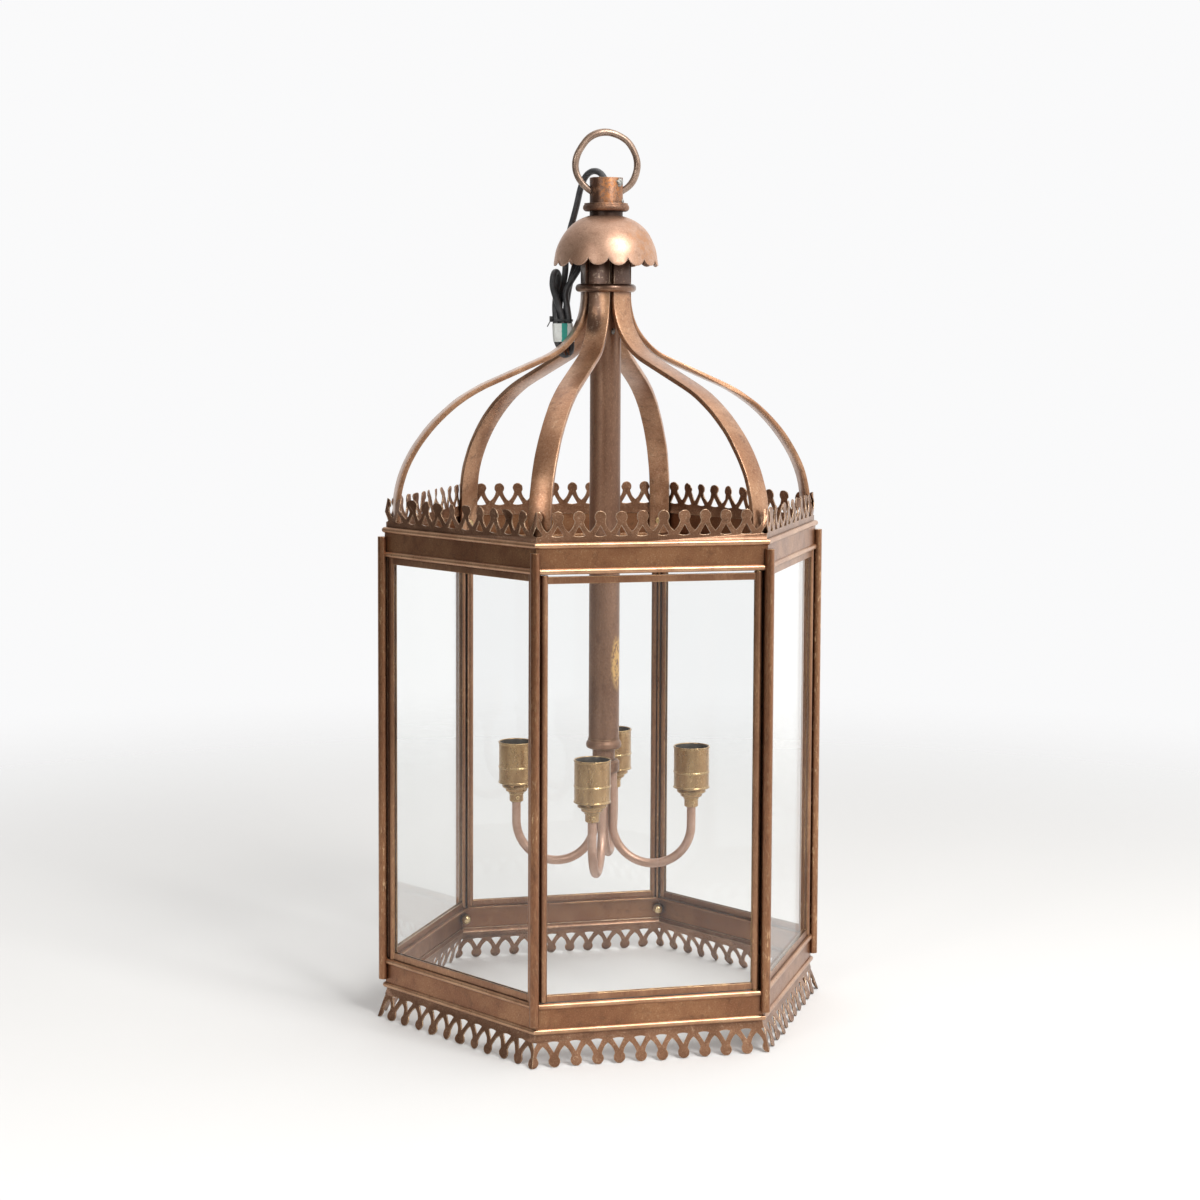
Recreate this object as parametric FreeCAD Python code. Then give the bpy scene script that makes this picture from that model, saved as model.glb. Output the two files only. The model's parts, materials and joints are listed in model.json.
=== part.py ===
"""Hexagonal glazed hanging lantern with an ogee strap crown and a four-light cluster.

Millimetres, +Z up. The origin is at the bottom centre of the lantern's box, so the lantern
stands on its lower row of pendants. The door is on the -Y side and corner posts stand at
0, 60, 120, 180, 240 and 300 degrees from +X. One STEP file is written for each sub-part.
"""

import FreeCAD, Part

import math
import os

V = FreeCAD.Vector
UP = V(0, 0, 1)
ORIGIN = V(0, 0, 0)
COS30 = math.cos(math.radians(30))
TAN30 = math.tan(math.radians(30))

# ---------------------------------------------------------------- driving dimensions
# Body
FLATS = 424.0              # across the flats of the sheet bands, outside
SHEET = 1.5                # band sheet
RAIL_HEIGHT = 32.6         # each band, over its two beads
PANE_HEIGHT = 441.5        # clear height between the bands
FLANGE_WIDTH = 10.0        # ledge inside each band
FLANGE_SHEET = 2.0
BEAD_HEIGHT = 6.2
BEAD_PROUD = 2.7

# Galleries: pierced strips with a row of balls
GALLERY_SHEET = 1.2
GALLERY_UNITS = 11         # units along one face
GALLERY_OVERLAP = 6.0      # height soldered behind the band
LOWER_BALL_DROP = 27.4     # fold at the band's edge to ball centre
UPPER_BALL_DROP = 25.3
LOWER_FLARE = 16.5         # degrees that the hanging strip leans outwards
BALL_R = 6.05
NECK_HALF = 4.6            # half width of the neck above a ball
NECK_ABOVE = 4.9           # ball centre to the top of its neck
ARCH_ABOVE = 15.1          # ball centre to the crown of the arch between two units
ARCH_SAGITTA = 1.1
PIERCING_HALF = 5.9        # half width of the three-sided piercing
PIERCING_ABOVE = 18.8      # ball centre to the piercing's outer corners
PIERCING_CREST = 1.0
PIERCING_POINT = 8.8       # ball centre to the piercing's point

# Corner posts
POST_R = 5.0
POST_PROUD = 2.6           # post axis beyond the corner of the band
POST_BELOW_TOP = 10.2      # top of the post to the top edge of the upper band
POST_ABOVE_BOTTOM = 9.9
WEB_THICKNESS = 2.4
WEB_DEPTH = 15.4           # from the post axis inwards

# Pane frames, glass and door
STILE_R = 4.3
STILE_GROOVE = 1.1         # gap seen between a post and a stile
STILE_INSET = 4.0          # stile axis inside the band's outer face
BAR_DEPTH = 5.0
FOOT_BAR = 7.6             # height of the bottom bar of a pane
HEAD_BAR = 7.4             # height of the top bar of a fixed pane
GLASS = 3.0
GLASS_BITE = 1.4           # how far the glass runs into its frame
GLASS_PLAY = 0.1
DOOR_HEAD_GAP = 2.4        # over the door's top bar
DOOR_END_GAP = 1.0         # above and below the door's stiles
DOOR_HEAD_BAR = 7.2
PINTLE_R = 2.0
PINTLE_PLAY = 0.05
PINTLE_BITE = 14.0
PINTLE_COLLAR_R = 3.6
PINTLE_END_PLAY = 0.1

# Straps of the crown
STRAP_WIDTH = 23.6
STRAP_THICKNESS = 5.0
STRAP_CORNER_PLAY = 0.25   # strap edge to the gallery strip
STRAP_SIDE_PLAY = 0.1512   # strap edge to the middle of the gap beside it, at the barrel
STRAP_FOOT_ABOVE = 16.5    # straight foot above the upper band
SHOULDER_R = 123.7
SHOULDER_TURN = 28.3
BACK_R = 186.1
BACK_TURN = 38.1
OGEE_R = 71.5
BARREL_HEIGHT = 47.0

# Crown fittings, all measured up from where the straps turn vertical
CORE_HEIGHT = 49.0
STEM_SEAT = 33.0
NECK_COLLAR_Z = 9.0
NECK_COLLAR_BULGE = 4.97       # how far it stands out past the corners of the strap bundle
NECK_COLLAR_HEIGHT = 9.0
NECK_COLLAR_PLAY = 0.05       # bore over the corners of the strap bundle
DOME_Z = 33.0
DOME_HEIGHT = 54.7
DOME_RIM_R = 57.4
DOME_SHEET = 1.5
DOME_SHOULDER_OUT = 0.64      # the bulge passes this share of the way from neck to rim,
DOME_SHOULDER_DROP = 0.285    # and this share of the height below the top
DOME_SHOULDER_INSET = (0.62, 0.78)   # way into the sheet at the shoulder, outwards and down
DOME_LIP_IN = 1.4             # the bulge ends this far inside the rim,
DOME_LIP_RISE = 0.18          # and this share of the height above it
SCALLOPS = 16
SCALLOP_DEPTH = 9.0
NECK_OVER_STEM = 1.1          # the neck tube stands on the stem's end, and is this much larger
NECK_WALL = 2.0
NECK_TOP = 129.0
BEAD_COLLAR_R = 25.35
BEAD_COLLAR_Z = 92.5
BEAD_COLLAR_HEIGHT = 8.8
BEAD_COLLAR_FOOT_IN = 3.4     # lower end of its round, inside the widest radius
BEAD_COLLAR_LIP_IN = 1.5
BEAD_COLLAR_LIP = 1.6         # height of the upright lip over the round
BEAD_COLLAR_WIDEST = 0.52     # share of its height at which it is widest
RING_HOLE_Z = 114.2
RING_HOLE_R = 5.5
RING_R = 34.25             # centre line
RING_ROD_R = 3.75
RING_END_X = 13.6          # where the rod stops, inside the neck
GRIP_Z = 91.0
GRIP_FLANGE = 6.0
GRIP_NOSE = 10.0
GRIP_NOSE_R = 6.2
GRIP_NOSE_TAPER = 2.0
GRIP_SQUEEZE = 1.0            # how far the grip bites into the flex

# Stem and cluster
STEM_R = 17.0
STEM_WALL = 1.5
STEM_FOOT_Z = 300.0
CAP_R = 19.6
CAP_HEIGHT = 11.2
CAP_SPIGOT_R = 12.5
CAP_SPIGOT_HEIGHT = 13.0
CAP_CHAMFER = 1.2
CAP_BORE_R = 5.6
BOSS_R = 17.5
BOSS_HEIGHT = 14.0
BOSS_CHAMFER = 2.0
CLUSTER_TURN = -110.6      # direction of the first arm
ARM_R = 4.9
ARM_WALL = 1.0
ARM_INNER = 10.2           # arm leg from the stem axis
ARM_BEND_R = 44.0
ARM_BEND_Z = 204.0
ARM_BITE = 8.0             # arm into the boss and into the holder

# Lampholders (Edison screw E27)
HOLDER_Z = 225.5
HOLDER_NECK_R = 8.0
HOLDER_NECK_HEIGHT = 10.6
HOLDER_NECK_CHAMFER = 0.8
HOLDER_STEP_R = 15.5
HOLDER_STEP_HEIGHT = 10.4
HOLDER_STEP_FOOT_IN = 3.4     # the step's foot, hip and shoulder, inside its widest radius
HOLDER_STEP_HIP_IN = 2.6
HOLDER_STEP_SHOULDER_IN = 1.2
HOLDER_STEP_HIP = 3.4         # heights of hip and shoulder above the step's foot
HOLDER_STEP_SHOULDER = 3.8
HOLDER_STEP_BAND = 1.4        # plain band at the step's top
HOLDER_R = 19.8
HOLDER_WALL = 1.2
HOLDER_FOOT_PROUD = 1.8       # shell's foot beyond the step
HOLDER_FOOT_CHAMFER = 2.0
HOLDER_HEIGHT = 47.0
HOLDER_BEAD_DROP = 28.6
HOLDER_BEAD_R = 0.9
THREAD_R = 13.3
THREAD_DEPTH = 27.0
INSERT_DROP = 8.0          # rim of the shell to the face of the insert

# Fasteners
SCREW_R = 2.0
SCREW_CLEARANCE = 0.1
SCREW_HEAD_R = 4.2
SCREW_HEAD_HEIGHT = 2.4
SCREW_HEAD_ROUND = 0.6        # rim radius as a share of the head's height
SCREW_ABOVE_FLANGE = 15.6
NUT_R = 5.75
NUT_ABOVE_BAND = 17.6      # ball nut above the lower edge of the lower band

# Flex
FLEX_R = 3.55
FLEX_CORE_R = 1.1
TAG_THICKNESS = 0.7
TIE_THICKNESS = 1.3

CUT_PAST = 1.0                # how far a cutter runs on past what it cuts

# ---------------------------------------------------------------- worked-out places
APOTHEM = FLATS / 2
INSIDE = APOTHEM - SHEET
LEAN_COS, LEAN_SIN = math.cos(math.radians(LOWER_FLARE)), math.sin(math.radians(LOWER_FLARE))

LOWER_BAND_Z = (LOWER_BALL_DROP + BALL_R) * LEAN_COS + GALLERY_SHEET * LEAN_SIN
LOWER_BAND_TOP = LOWER_BAND_Z + RAIL_HEIGHT
UPPER_BAND_Z = LOWER_BAND_TOP + PANE_HEIGHT
UPPER_BAND_TOP = UPPER_BAND_Z + RAIL_HEIGHT
FLANGE_TOP = UPPER_BAND_Z + FLANGE_SHEET

POST_AXIS = APOTHEM / COS30 + POST_PROUD
STILE_APOTHEM = APOTHEM - STILE_INSET
STILE_X = POST_AXIS / 2 - POST_R - STILE_GROOVE - STILE_R
GLASS_HALF = STILE_X - STILE_R + GLASS_BITE

STRAP_FOOT_R = (INSIDE - GALLERY_SHEET - STRAP_CORNER_PLAY - STRAP_WIDTH / 4) / COS30
SHOULDER_Z = UPPER_BAND_TOP + STRAP_FOOT_ABOVE
OGEE_TURN = SHOULDER_TURN + BACK_TURN
CORE_APOTHEM = (STRAP_WIDTH / 2 + STRAP_SIDE_PLAY) / TAN30
BARREL_APOTHEM = CORE_APOTHEM + STRAP_THICKNESS   # outside of the six straps side by side
NECK_R = STEM_R + NECK_OVER_STEM

SCREW_Z = FLANGE_TOP + SCREW_ABOVE_FLANGE
NUT_Z = LOWER_BAND_Z + NUT_ABOVE_BAND
NUT_AXIS = (INSIDE - NUT_R) / COS30


def strap_straight():
    """Length of the strap's straight slope, so that its two ends meet foot and barrel."""
    shoulder = SHOULDER_R * (1 - math.cos(math.radians(SHOULDER_TURN)))
    back = BACK_R * (math.cos(math.radians(SHOULDER_TURN)) - math.cos(math.radians(OGEE_TURN)))
    ogee = OGEE_R * (1 - math.cos(math.radians(OGEE_TURN)))
    return (STRAP_FOOT_R - BARREL_APOTHEM - shoulder - back - ogee) / math.sin(math.radians(OGEE_TURN))


STRAP_STRAIGHT = strap_straight()


def crown_base():
    """Height at which the straps turn vertical again, which carries every crown fitting."""
    shoulder = SHOULDER_R * math.sin(math.radians(SHOULDER_TURN))
    back = BACK_R * (math.sin(math.radians(OGEE_TURN)) - math.sin(math.radians(SHOULDER_TURN)))
    slope = STRAP_STRAIGHT * math.cos(math.radians(OGEE_TURN))
    return SHOULDER_Z + shoulder + back + slope + OGEE_R * math.sin(math.radians(OGEE_TURN))


CROWN_Z = crown_base()
NECK_FOOT = CROWN_Z + STEM_SEAT
RING_HOLE = CROWN_Z + RING_HOLE_Z
GRIP_TOP = CROWN_Z + GRIP_Z + GRIP_FLANGE + GRIP_NOSE
BOSS_TOP = STEM_FOOT_Z - CAP_HEIGHT - CAP_SPIGOT_HEIGHT
BOSS_FOOT = BOSS_TOP - BOSS_HEIGHT
ARM_OUTER = ARM_INNER + 2 * ARM_BEND_R

# The flex's route from the top of its grip, over the mouth of the neck and down behind the
# dome, then the top of the hank. Chosen by hand.
FLEX_ROUTE = [
    V(0.0, 0.0, GRIP_TOP),
    V(0.0, 0.0, 915.0),
    V(-5.6, 10.4, 926.3),
    V(-13.6, 25.4, 926.3),
    V(-19.6, 36.0, 914.0),
    V(-23.8, 43.4, 886.0),
    V(-30.2, 53.6, 857.0),
    V(-32.6, 56.8, 834.0),
    V(-34.0, 50.6, 815.0),
]
# Centre, half width, half depth of the hank at each height, from its top fold to its lower one.
HANK_AXIS_TURN = -13.6
HANK_SECTIONS = [
    (V(-34.6, 44.6, 819.0), 7.0, 5.0),
    (V(-35.4, 42.6, 812.0), 13.0, 9.5),
    (V(-38.0, 38.0, 790.0), 13.5, 10.5),
    (V(-42.2, 31.8, 765.0), 11.0, 9.6),
    (V(-43.8, 28.4, 750.0), 10.4, 9.2),
    (V(-43.8, 27.6, 738.0), 11.0, 9.0),
    (V(-43.2, 27.4, 728.0), 9.4, 7.6),
    (V(-43.0, 27.2, 723.0), 6.0, 4.4),
]
TAG_SPAN = (742.0, 759.0)
TIE_SPAN = (760.5, 764.5)
CORE_TIPS = [V(-45.0, 24.0, 714.5), V(-42.2, 27.6, 713.0), V(-40.4, 23.0, 715.5)]
CORE_SEAT = V(-42.8, 25.4, 724.0)

PARTS = {}


# ---------------------------------------------------------------- shape helpers
def box(x0, x1, y0, y1, z0, z1):
    """A block between two opposite corners."""
    return Part.makeBox(x1 - x0, y1 - y0, z1 - z0, V(x0, y0, z0))


def post(radius, z0, z1, x=0.0, y=0.0):
    """An upright cylinder."""
    return Part.makeCylinder(radius, z1 - z0, V(x, y, z0))


def tube(outer, inner, z0, z1, x=0.0, y=0.0):
    """An upright tube."""
    return post(outer, z0, z1, x, y).cut(post(inner, z0, z1, x, y))


def radial_pin(radius, r0, r1, z):
    """A cylinder lying along +X from r0 to r1."""
    return Part.makeCylinder(radius, r1 - r0, V(r0, 0, z), V(1, 0, 0))


def turned(edges):
    """Spin a closed outline drawn in the X-Z plane round the Z axis."""
    return Part.Face(Part.Wire(edges)).revolve(ORIGIN, UP, 360)


def at(r, z):
    """A point of a turned outline."""
    return V(r, 0, z)


def line(a, b):
    return Part.LineSegment(a, b).toShape()


def arc(a, through, b):
    return Part.Arc(a, through, b).toShape()


def polyline(points):
    """Straight edges from point to point."""
    return [line(a, b) for a, b in zip(points, points[1:])]


def turned_polygon(points):
    """A turned solid whose outline is the closed polygon of (radius, height) points."""
    corners = [at(r, z) for r, z in points]
    return turned(polyline(corners + corners[:1]))


def turn(shape, degrees):
    """A copy turned about the lantern's axis."""
    copy = shape.copy()
    copy.rotate(ORIGIN, UP, degrees)
    return copy


def hex_prism(apothem, z0, z1):
    """A hexagonal prism with a flat towards -Y and a corner on +X."""
    r = apothem / COS30
    angles = [math.radians(60 * k) for k in range(7)]
    corners = [V(r * math.cos(a), r * math.sin(a), z0) for a in angles]
    return Part.Face(Part.makePolygon(corners)).extrude(V(0, 0, z1 - z0))


def hex_tube(outer, inner, z0, z1):
    """A hexagonal tube between two apothems."""
    return hex_prism(outer, z0, z1).cut(hex_prism(inner, z0, z1))


def six_sides(side):
    """Mitre a length made for the -Y face and join it into a closed hexagonal ring."""
    reach = 2 * APOTHEM
    low = side.BoundBox.ZMin - 1
    half = reach * TAN30
    wedge = Part.makePolygon([V(0, 0, low), V(-half, -reach, low), V(half, -reach, low), V(0, 0, low)])
    mitred = side.common(Part.Face(wedge).extrude(V(0, 0, side.BoundBox.ZLength + 2)))
    ring = mitred.multiFuse([turn(mitred, 60 * k) for k in range(1, 6)])
    return ring.removeSplitter().Solids[0]


def pipe(path, radius):
    """A round bar along a path of tangent edges."""
    first = path.OrderedEdges[0]
    start = path.OrderedVertexes[0].Point
    forward = first.Orientation == "Forward"
    direction = first.tangentAt(first.FirstParameter if forward else first.LastParameter)
    section = Part.Wire(Part.Circle(start, direction, radius).toShape())
    return path.makePipeShell([section], True, False)


def save(name, shape):
    """Keep a finished sub-part under its node name."""
    PARTS[name] = shape


# ---------------------------------------------------------------- rails and galleries
def bead(z_middle):
    """A half-round bead soldered round the outside of a band."""
    half = BEAD_HEIGHT / 2
    y = -APOTHEM
    low, high = V(0, y, z_middle - half), V(0, y, z_middle + half)
    section = Part.Wire([arc(low, V(0, y - BEAD_PROUD, z_middle), high), line(high, low)])
    run = Part.Face(section).extrude(V(2 * APOTHEM, 0, 0))
    run.translate(V(-APOTHEM, 0, 0))
    return six_sides(run)


def screw_holes(radius, z):
    """Six radial holes through the corners."""
    return [turn(radial_pin(radius, NUT_AXIS, POST_AXIS + POST_R, z), 60 * k) for k in range(6)]


def rails():
    """The two L-section bands and their four beads."""
    clearance = SCREW_R + SCREW_CLEARANCE
    hinge_hole = PINTLE_R + PINTLE_PLAY
    lower = hex_tube(APOTHEM, INSIDE, LOWER_BAND_Z, LOWER_BAND_TOP)
    ledge = hex_tube(INSIDE, INSIDE - FLANGE_WIDTH, LOWER_BAND_TOP - FLANGE_SHEET, LOWER_BAND_TOP)
    socket = post(hinge_hole, LOWER_BAND_TOP - FLANGE_SHEET, LOWER_BAND_TOP, STILE_X, -STILE_APOTHEM)
    lower = lower.fuse(ledge.cut(socket)).removeSplitter()
    save("bottom_rail", lower.cut(screw_holes(clearance, NUT_Z)))

    upper = hex_tube(APOTHEM, INSIDE, UPPER_BAND_Z, UPPER_BAND_TOP)
    ledge = hex_tube(INSIDE, INSIDE - FLANGE_WIDTH, UPPER_BAND_Z, FLANGE_TOP)
    socket = post(hinge_hole, UPPER_BAND_Z, FLANGE_TOP, STILE_X, -STILE_APOTHEM)
    upper = upper.fuse(ledge.cut(socket)).removeSplitter()
    save("top_rail", upper.cut(screw_holes(clearance, SCREW_Z)))

    half = BEAD_HEIGHT / 2
    middles = [z for low in (LOWER_BAND_Z, UPPER_BAND_Z) for z in (low + half, low + RAIL_HEIGHT - half)]
    beads = [bead(z) for z in middles]
    save("rail_beads", Part.makeCompound(beads))
    return beads


def gallery_outline(fold_z, drop, sense, pitch):
    """Outer edge of one face's strip, upright, with the maker of its points.

    The strip reaches drop from its fold to the ball centres. sense is -1 for hanging balls
    and +1 for standing ones. A point is given by its distance above a ball's centre line.
    """
    def point(x, above):
        return V(x, -INSIDE, fold_z + sense * (drop - above))

    neck_drop = math.sqrt(BALL_R**2 - NECK_HALF**2)
    chord = math.hypot(pitch / 2 - NECK_HALF, ARCH_ABOVE - NECK_ABOVE)
    bow = (
        (ARCH_ABOVE - NECK_ABOVE) / chord * ARCH_SAGITTA,
        (pitch / 2 - NECK_HALF) / chord * ARCH_SAGITTA,
    )
    middle = ((pitch / 2 + NECK_HALF) / 2 - bow[0], (ARCH_ABOVE + NECK_ABOVE) / 2 + bow[1])
    edges = []
    for k in range(GALLERY_UNITS + 1):
        x = (k - GALLERY_UNITS / 2) * pitch
        left, right = x - NECK_HALF, x + NECK_HALF
        edges += [
            arc(point(x - pitch / 2, ARCH_ABOVE), point(x - middle[0], middle[1]), point(left, NECK_ABOVE)),
            line(point(left, NECK_ABOVE), point(left, neck_drop)),
            arc(point(left, neck_drop), point(x, -BALL_R), point(right, neck_drop)),
            line(point(right, neck_drop), point(right, NECK_ABOVE)),
            arc(point(right, NECK_ABOVE), point(x + middle[0], middle[1]), point(x + pitch / 2, ARCH_ABOVE)),
        ]
    end = (GALLERY_UNITS + 1) / 2 * pitch
    top = drop + GALLERY_SHEET
    edges += polyline([point(end, ARCH_ABOVE), point(end, top), point(-end, top), point(-end, ARCH_ABOVE)])
    return edges, point


def gallery(fold_z, drop, sense, flare):
    """A pierced strip on all six faces, folded round the corners through a ball."""
    at_balls = INSIDE + drop * math.sin(math.radians(flare))
    pitch = 2 * at_balls * TAN30 / GALLERY_UNITS
    outline, point = gallery_outline(fold_z, drop, sense, pitch)
    piercings = []
    for k in range(GALLERY_UNITS + 1):
        x = (k - GALLERY_UNITS / 2) * pitch
        left, right = point(x - PIERCING_HALF, PIERCING_ABOVE), point(x + PIERCING_HALF, PIERCING_ABOVE)
        crest, tip = point(x, PIERCING_ABOVE + PIERCING_CREST), point(x, PIERCING_POINT)
        piercings.append(Part.Wire([arc(left, crest, right), line(right, tip), line(tip, left)]))
    strip = Part.Face(Part.Wire(outline)).extrude(V(0, GALLERY_SHEET, 0))
    holes = [Part.Face(wire).extrude(V(0, GALLERY_SHEET, 0)) for wire in piercings]
    strip = strip.cut(Part.makeCompound(holes))
    strip.rotate(V(0, -INSIDE, fold_z), V(1, 0, 0), sense * flare)
    overlap = sorted((fold_z, fold_z - sense * GALLERY_OVERLAP))
    return six_sides(strip.fuse(box(-APOTHEM, APOTHEM, -INSIDE, GALLERY_SHEET - INSIDE, *overlap)))


def galleries():
    save("lower_gallery", gallery(LOWER_BAND_Z, LOWER_BALL_DROP, -1, LOWER_FLARE))
    save("upper_gallery", gallery(UPPER_BAND_TOP, UPPER_BALL_DROP, 1, 0.0))


# ---------------------------------------------------------------- posts and their fasteners
def corner_posts(beads):
    """Six round posts, notched over the bands and their beads, with a web behind the stiles."""
    low, high = LOWER_BAND_Z + POST_ABOVE_BOTTOM, UPPER_BAND_TOP - POST_BELOW_TOP
    half = WEB_THICKNESS / 2
    rod = post(POST_R, low, high, POST_AXIS, 0)
    for z0, z1 in ((LOWER_BAND_Z, LOWER_BAND_TOP), (UPPER_BAND_Z, UPPER_BAND_TOP)):
        rod = rod.cut(hex_prism(APOTHEM, z0, z1))
    rod = rod.cut(beads)
    web = box(POST_AXIS - WEB_DEPTH, POST_AXIS - POST_R / 2, -half, half, LOWER_BAND_TOP, UPPER_BAND_Z)
    bores = [radial_pin(SCREW_R, NUT_AXIS, POST_AXIS + POST_R / 2, z) for z in (NUT_Z, SCREW_Z)]
    whole = rod.fuse(web).cut(bores).removeSplitter()
    for k in range(6):
        save(f"corner_post_{k + 1}", turn(whole, 60 * k))


def fasteners():
    """Domed ball nuts at the foot of each post and round-head screws in each strap foot."""
    ball = Part.makeSphere(NUT_R, V(NUT_AXIS, 0, NUT_Z))
    nut = ball.fuse(radial_pin(SCREW_R, NUT_AXIS, POST_AXIS + POST_R / 2, NUT_Z)).removeSplitter()
    save("post_ball_nuts", Part.makeCompound([turn(nut, 60 * k) for k in range(6)]))

    face = STRAP_FOOT_R - STRAP_THICKNESS
    crown = face - SCREW_HEAD_HEIGHT
    head = radial_pin(SCREW_HEAD_R, crown, face, SCREW_Z)
    rim = [e for e in head.Edges if e.BoundBox.XMax - crown < SCREW_HEAD_HEIGHT / 2]
    head = head.makeFillet(SCREW_HEAD_HEIGHT * SCREW_HEAD_ROUND, rim)
    screw = head.fuse(radial_pin(SCREW_R, face, POST_AXIS + POST_R / 2, SCREW_Z)).removeSplitter()
    save("strap_screws", Part.makeCompound([turn(screw, 60 * k) for k in range(6)]))


# ---------------------------------------------------------------- glazing
def pane(z0, z1):
    """Glass for the -Y face between two bar edges."""
    half = GLASS / 2
    low, high = z0 - GLASS_BITE, z1 + GLASS_BITE
    return box(-GLASS_HALF, GLASS_HALF, -STILE_APOTHEM - half, -STILE_APOTHEM + half, low, high)


def groove(z0, z1):
    """The space that a pane needs in its frame."""
    half = GLASS / 2 + GLASS_PLAY
    low, high = z0 - GLASS_BITE - GLASS_PLAY, z1 + GLASS_BITE + GLASS_PLAY
    reach = GLASS_HALF + GLASS_PLAY
    return box(-reach, reach, -STILE_APOTHEM - half, -STILE_APOTHEM + half, low, high)


def bar(z0, z1):
    """A flat bar across the -Y face between its stiles."""
    half = BAR_DEPTH / 2
    run = box(-STILE_X, STILE_X, -STILE_APOTHEM - half, -STILE_APOTHEM + half, z0, z1)
    for x in (-STILE_X, STILE_X):
        run = run.cut(post(STILE_R, z0, z1, x, -STILE_APOTHEM))
    return run


def fixed_panes():
    """Five soldered frames and their glass, on every face but the door's."""
    z0, z1 = LOWER_BAND_TOP + FOOT_BAR, UPPER_BAND_Z - HEAD_BAR
    stiles = [post(STILE_R, LOWER_BAND_TOP, UPPER_BAND_Z, x, -STILE_APOTHEM) for x in (-STILE_X, STILE_X)]
    frame = stiles[0].multiFuse([stiles[1], bar(LOWER_BAND_TOP, z0), bar(z1, UPPER_BAND_Z)])
    frame = frame.cut(groove(z0, z1)).removeSplitter()
    glass = pane(z0, z1)
    for k in range(1, 6):
        save(f"pane_frame_{k}", turn(frame, 60 * k))
        save(f"glass_pane_{k}", turn(glass, 60 * k))


def pintle(z_stile, sense):
    """A hinge pin in the end of the door's hinge stile. sense points out of the stile."""
    def span(a, b):
        return sorted((z_stile + sense * a, z_stile + sense * b))

    x, y = STILE_X, -STILE_APOTHEM
    collar = post(PINTLE_COLLAR_R, *span(0, DOOR_END_GAP - PINTLE_END_PLAY), x, y)
    pin = post(PINTLE_R, *span(-PINTLE_BITE, DOOR_END_GAP + FLANGE_SHEET), x, y)
    return pin.fuse(collar).removeSplitter()


def door():
    """The -Y face's door, hung on the round stile at its +X side."""
    low, high = LOWER_BAND_TOP + DOOR_END_GAP, UPPER_BAND_Z - DOOR_END_GAP
    z0 = LOWER_BAND_TOP + FOOT_BAR
    head = UPPER_BAND_Z - DOOR_HEAD_GAP
    z1 = head - DOOR_HEAD_BAR
    slot = groove(z0, z1)
    free = post(STILE_R, low, high, -STILE_X, -STILE_APOTHEM)
    hung = post(STILE_R, low, high, STILE_X, -STILE_APOTHEM)
    for z, sense in ((low, -1), (high, 1)):
        hung = hung.cut(post(PINTLE_R, *sorted((z, z - sense * PINTLE_BITE)), STILE_X, -STILE_APOTHEM))
    save("door_free_stile", free.cut(slot))
    save("door_hinge_stile", hung.cut(slot))
    save("door_top_bar", bar(z1, head).cut(slot))
    save("door_bottom_bar", bar(low, z0).cut(slot))
    save("door_glass", pane(z0, z1))
    save("door_pintles", Part.makeCompound([pintle(low, -1), pintle(high, 1)]))


# ---------------------------------------------------------------- crown
def trace(start, moves, offset):
    """Edges of a strap surface in the X-Z plane, offset to the left of the way it runs.

    It starts upwards. Each move is a straight (length,) or a bend (radius, degrees), and a bend
    with positive degrees turns to the left.
    """
    heading = math.pi / 2
    here = V(start.x - offset * math.sin(heading), 0, start.z + offset * math.cos(heading))
    edges = []
    for move in moves:
        if len(move) == 1:
            there = here + V(math.cos(heading), 0, math.sin(heading)) * move[0]
            edges.append(line(here, there))
        else:
            radius, degrees = move
            side = math.copysign(1, degrees)
            radius -= side * offset
            centre = here + V(-math.sin(heading), 0, math.cos(heading)) * (side * radius)

            def on_bend(angle):
                return centre + V(math.sin(angle), 0, -math.cos(angle)) * (side * radius)

            swing = math.radians(degrees)
            there = on_bend(heading + swing)
            edges.append(arc(here, on_bend(heading + swing / 2), there))
            heading += swing
        here = there
    return edges


def strap():
    """One ogee strap on +X: foot, shoulder, back, slope, reversed bend and barrel."""
    foot = at(STRAP_FOOT_R, FLANGE_TOP)
    moves = [
        (SHOULDER_Z - FLANGE_TOP,),
        (SHOULDER_R, SHOULDER_TURN),
        (BACK_R, BACK_TURN),
        (STRAP_STRAIGHT,),
        (OGEE_R, -OGEE_TURN),
        (BARREL_HEIGHT,),
    ]
    outer, inner = trace(foot, moves, 0.0), trace(foot, moves, STRAP_THICKNESS)
    ends = [line(a.valueAt(p), b.valueAt(p)) for a, b, p in (
        (outer[0], inner[0], outer[0].FirstParameter), (outer[-1], inner[-1], outer[-1].LastParameter))]
    face = Part.Face(Part.Wire(Part.sortEdges(outer + inner + ends)[0]))
    body = face.extrude(V(0, STRAP_WIDTH, 0))
    body.translate(V(0, -STRAP_WIDTH / 2, 0))
    inside, outside = STRAP_FOOT_R - 2 * STRAP_THICKNESS, STRAP_FOOT_R + CUT_PAST
    return body.cut(radial_pin(SCREW_R + SCREW_CLEARANCE, inside, outside, SCREW_Z))


def straps():
    one = strap()
    for k in range(6):
        save(f"crown_strap_{k + 1}", turn(one, 60 * k))


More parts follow.
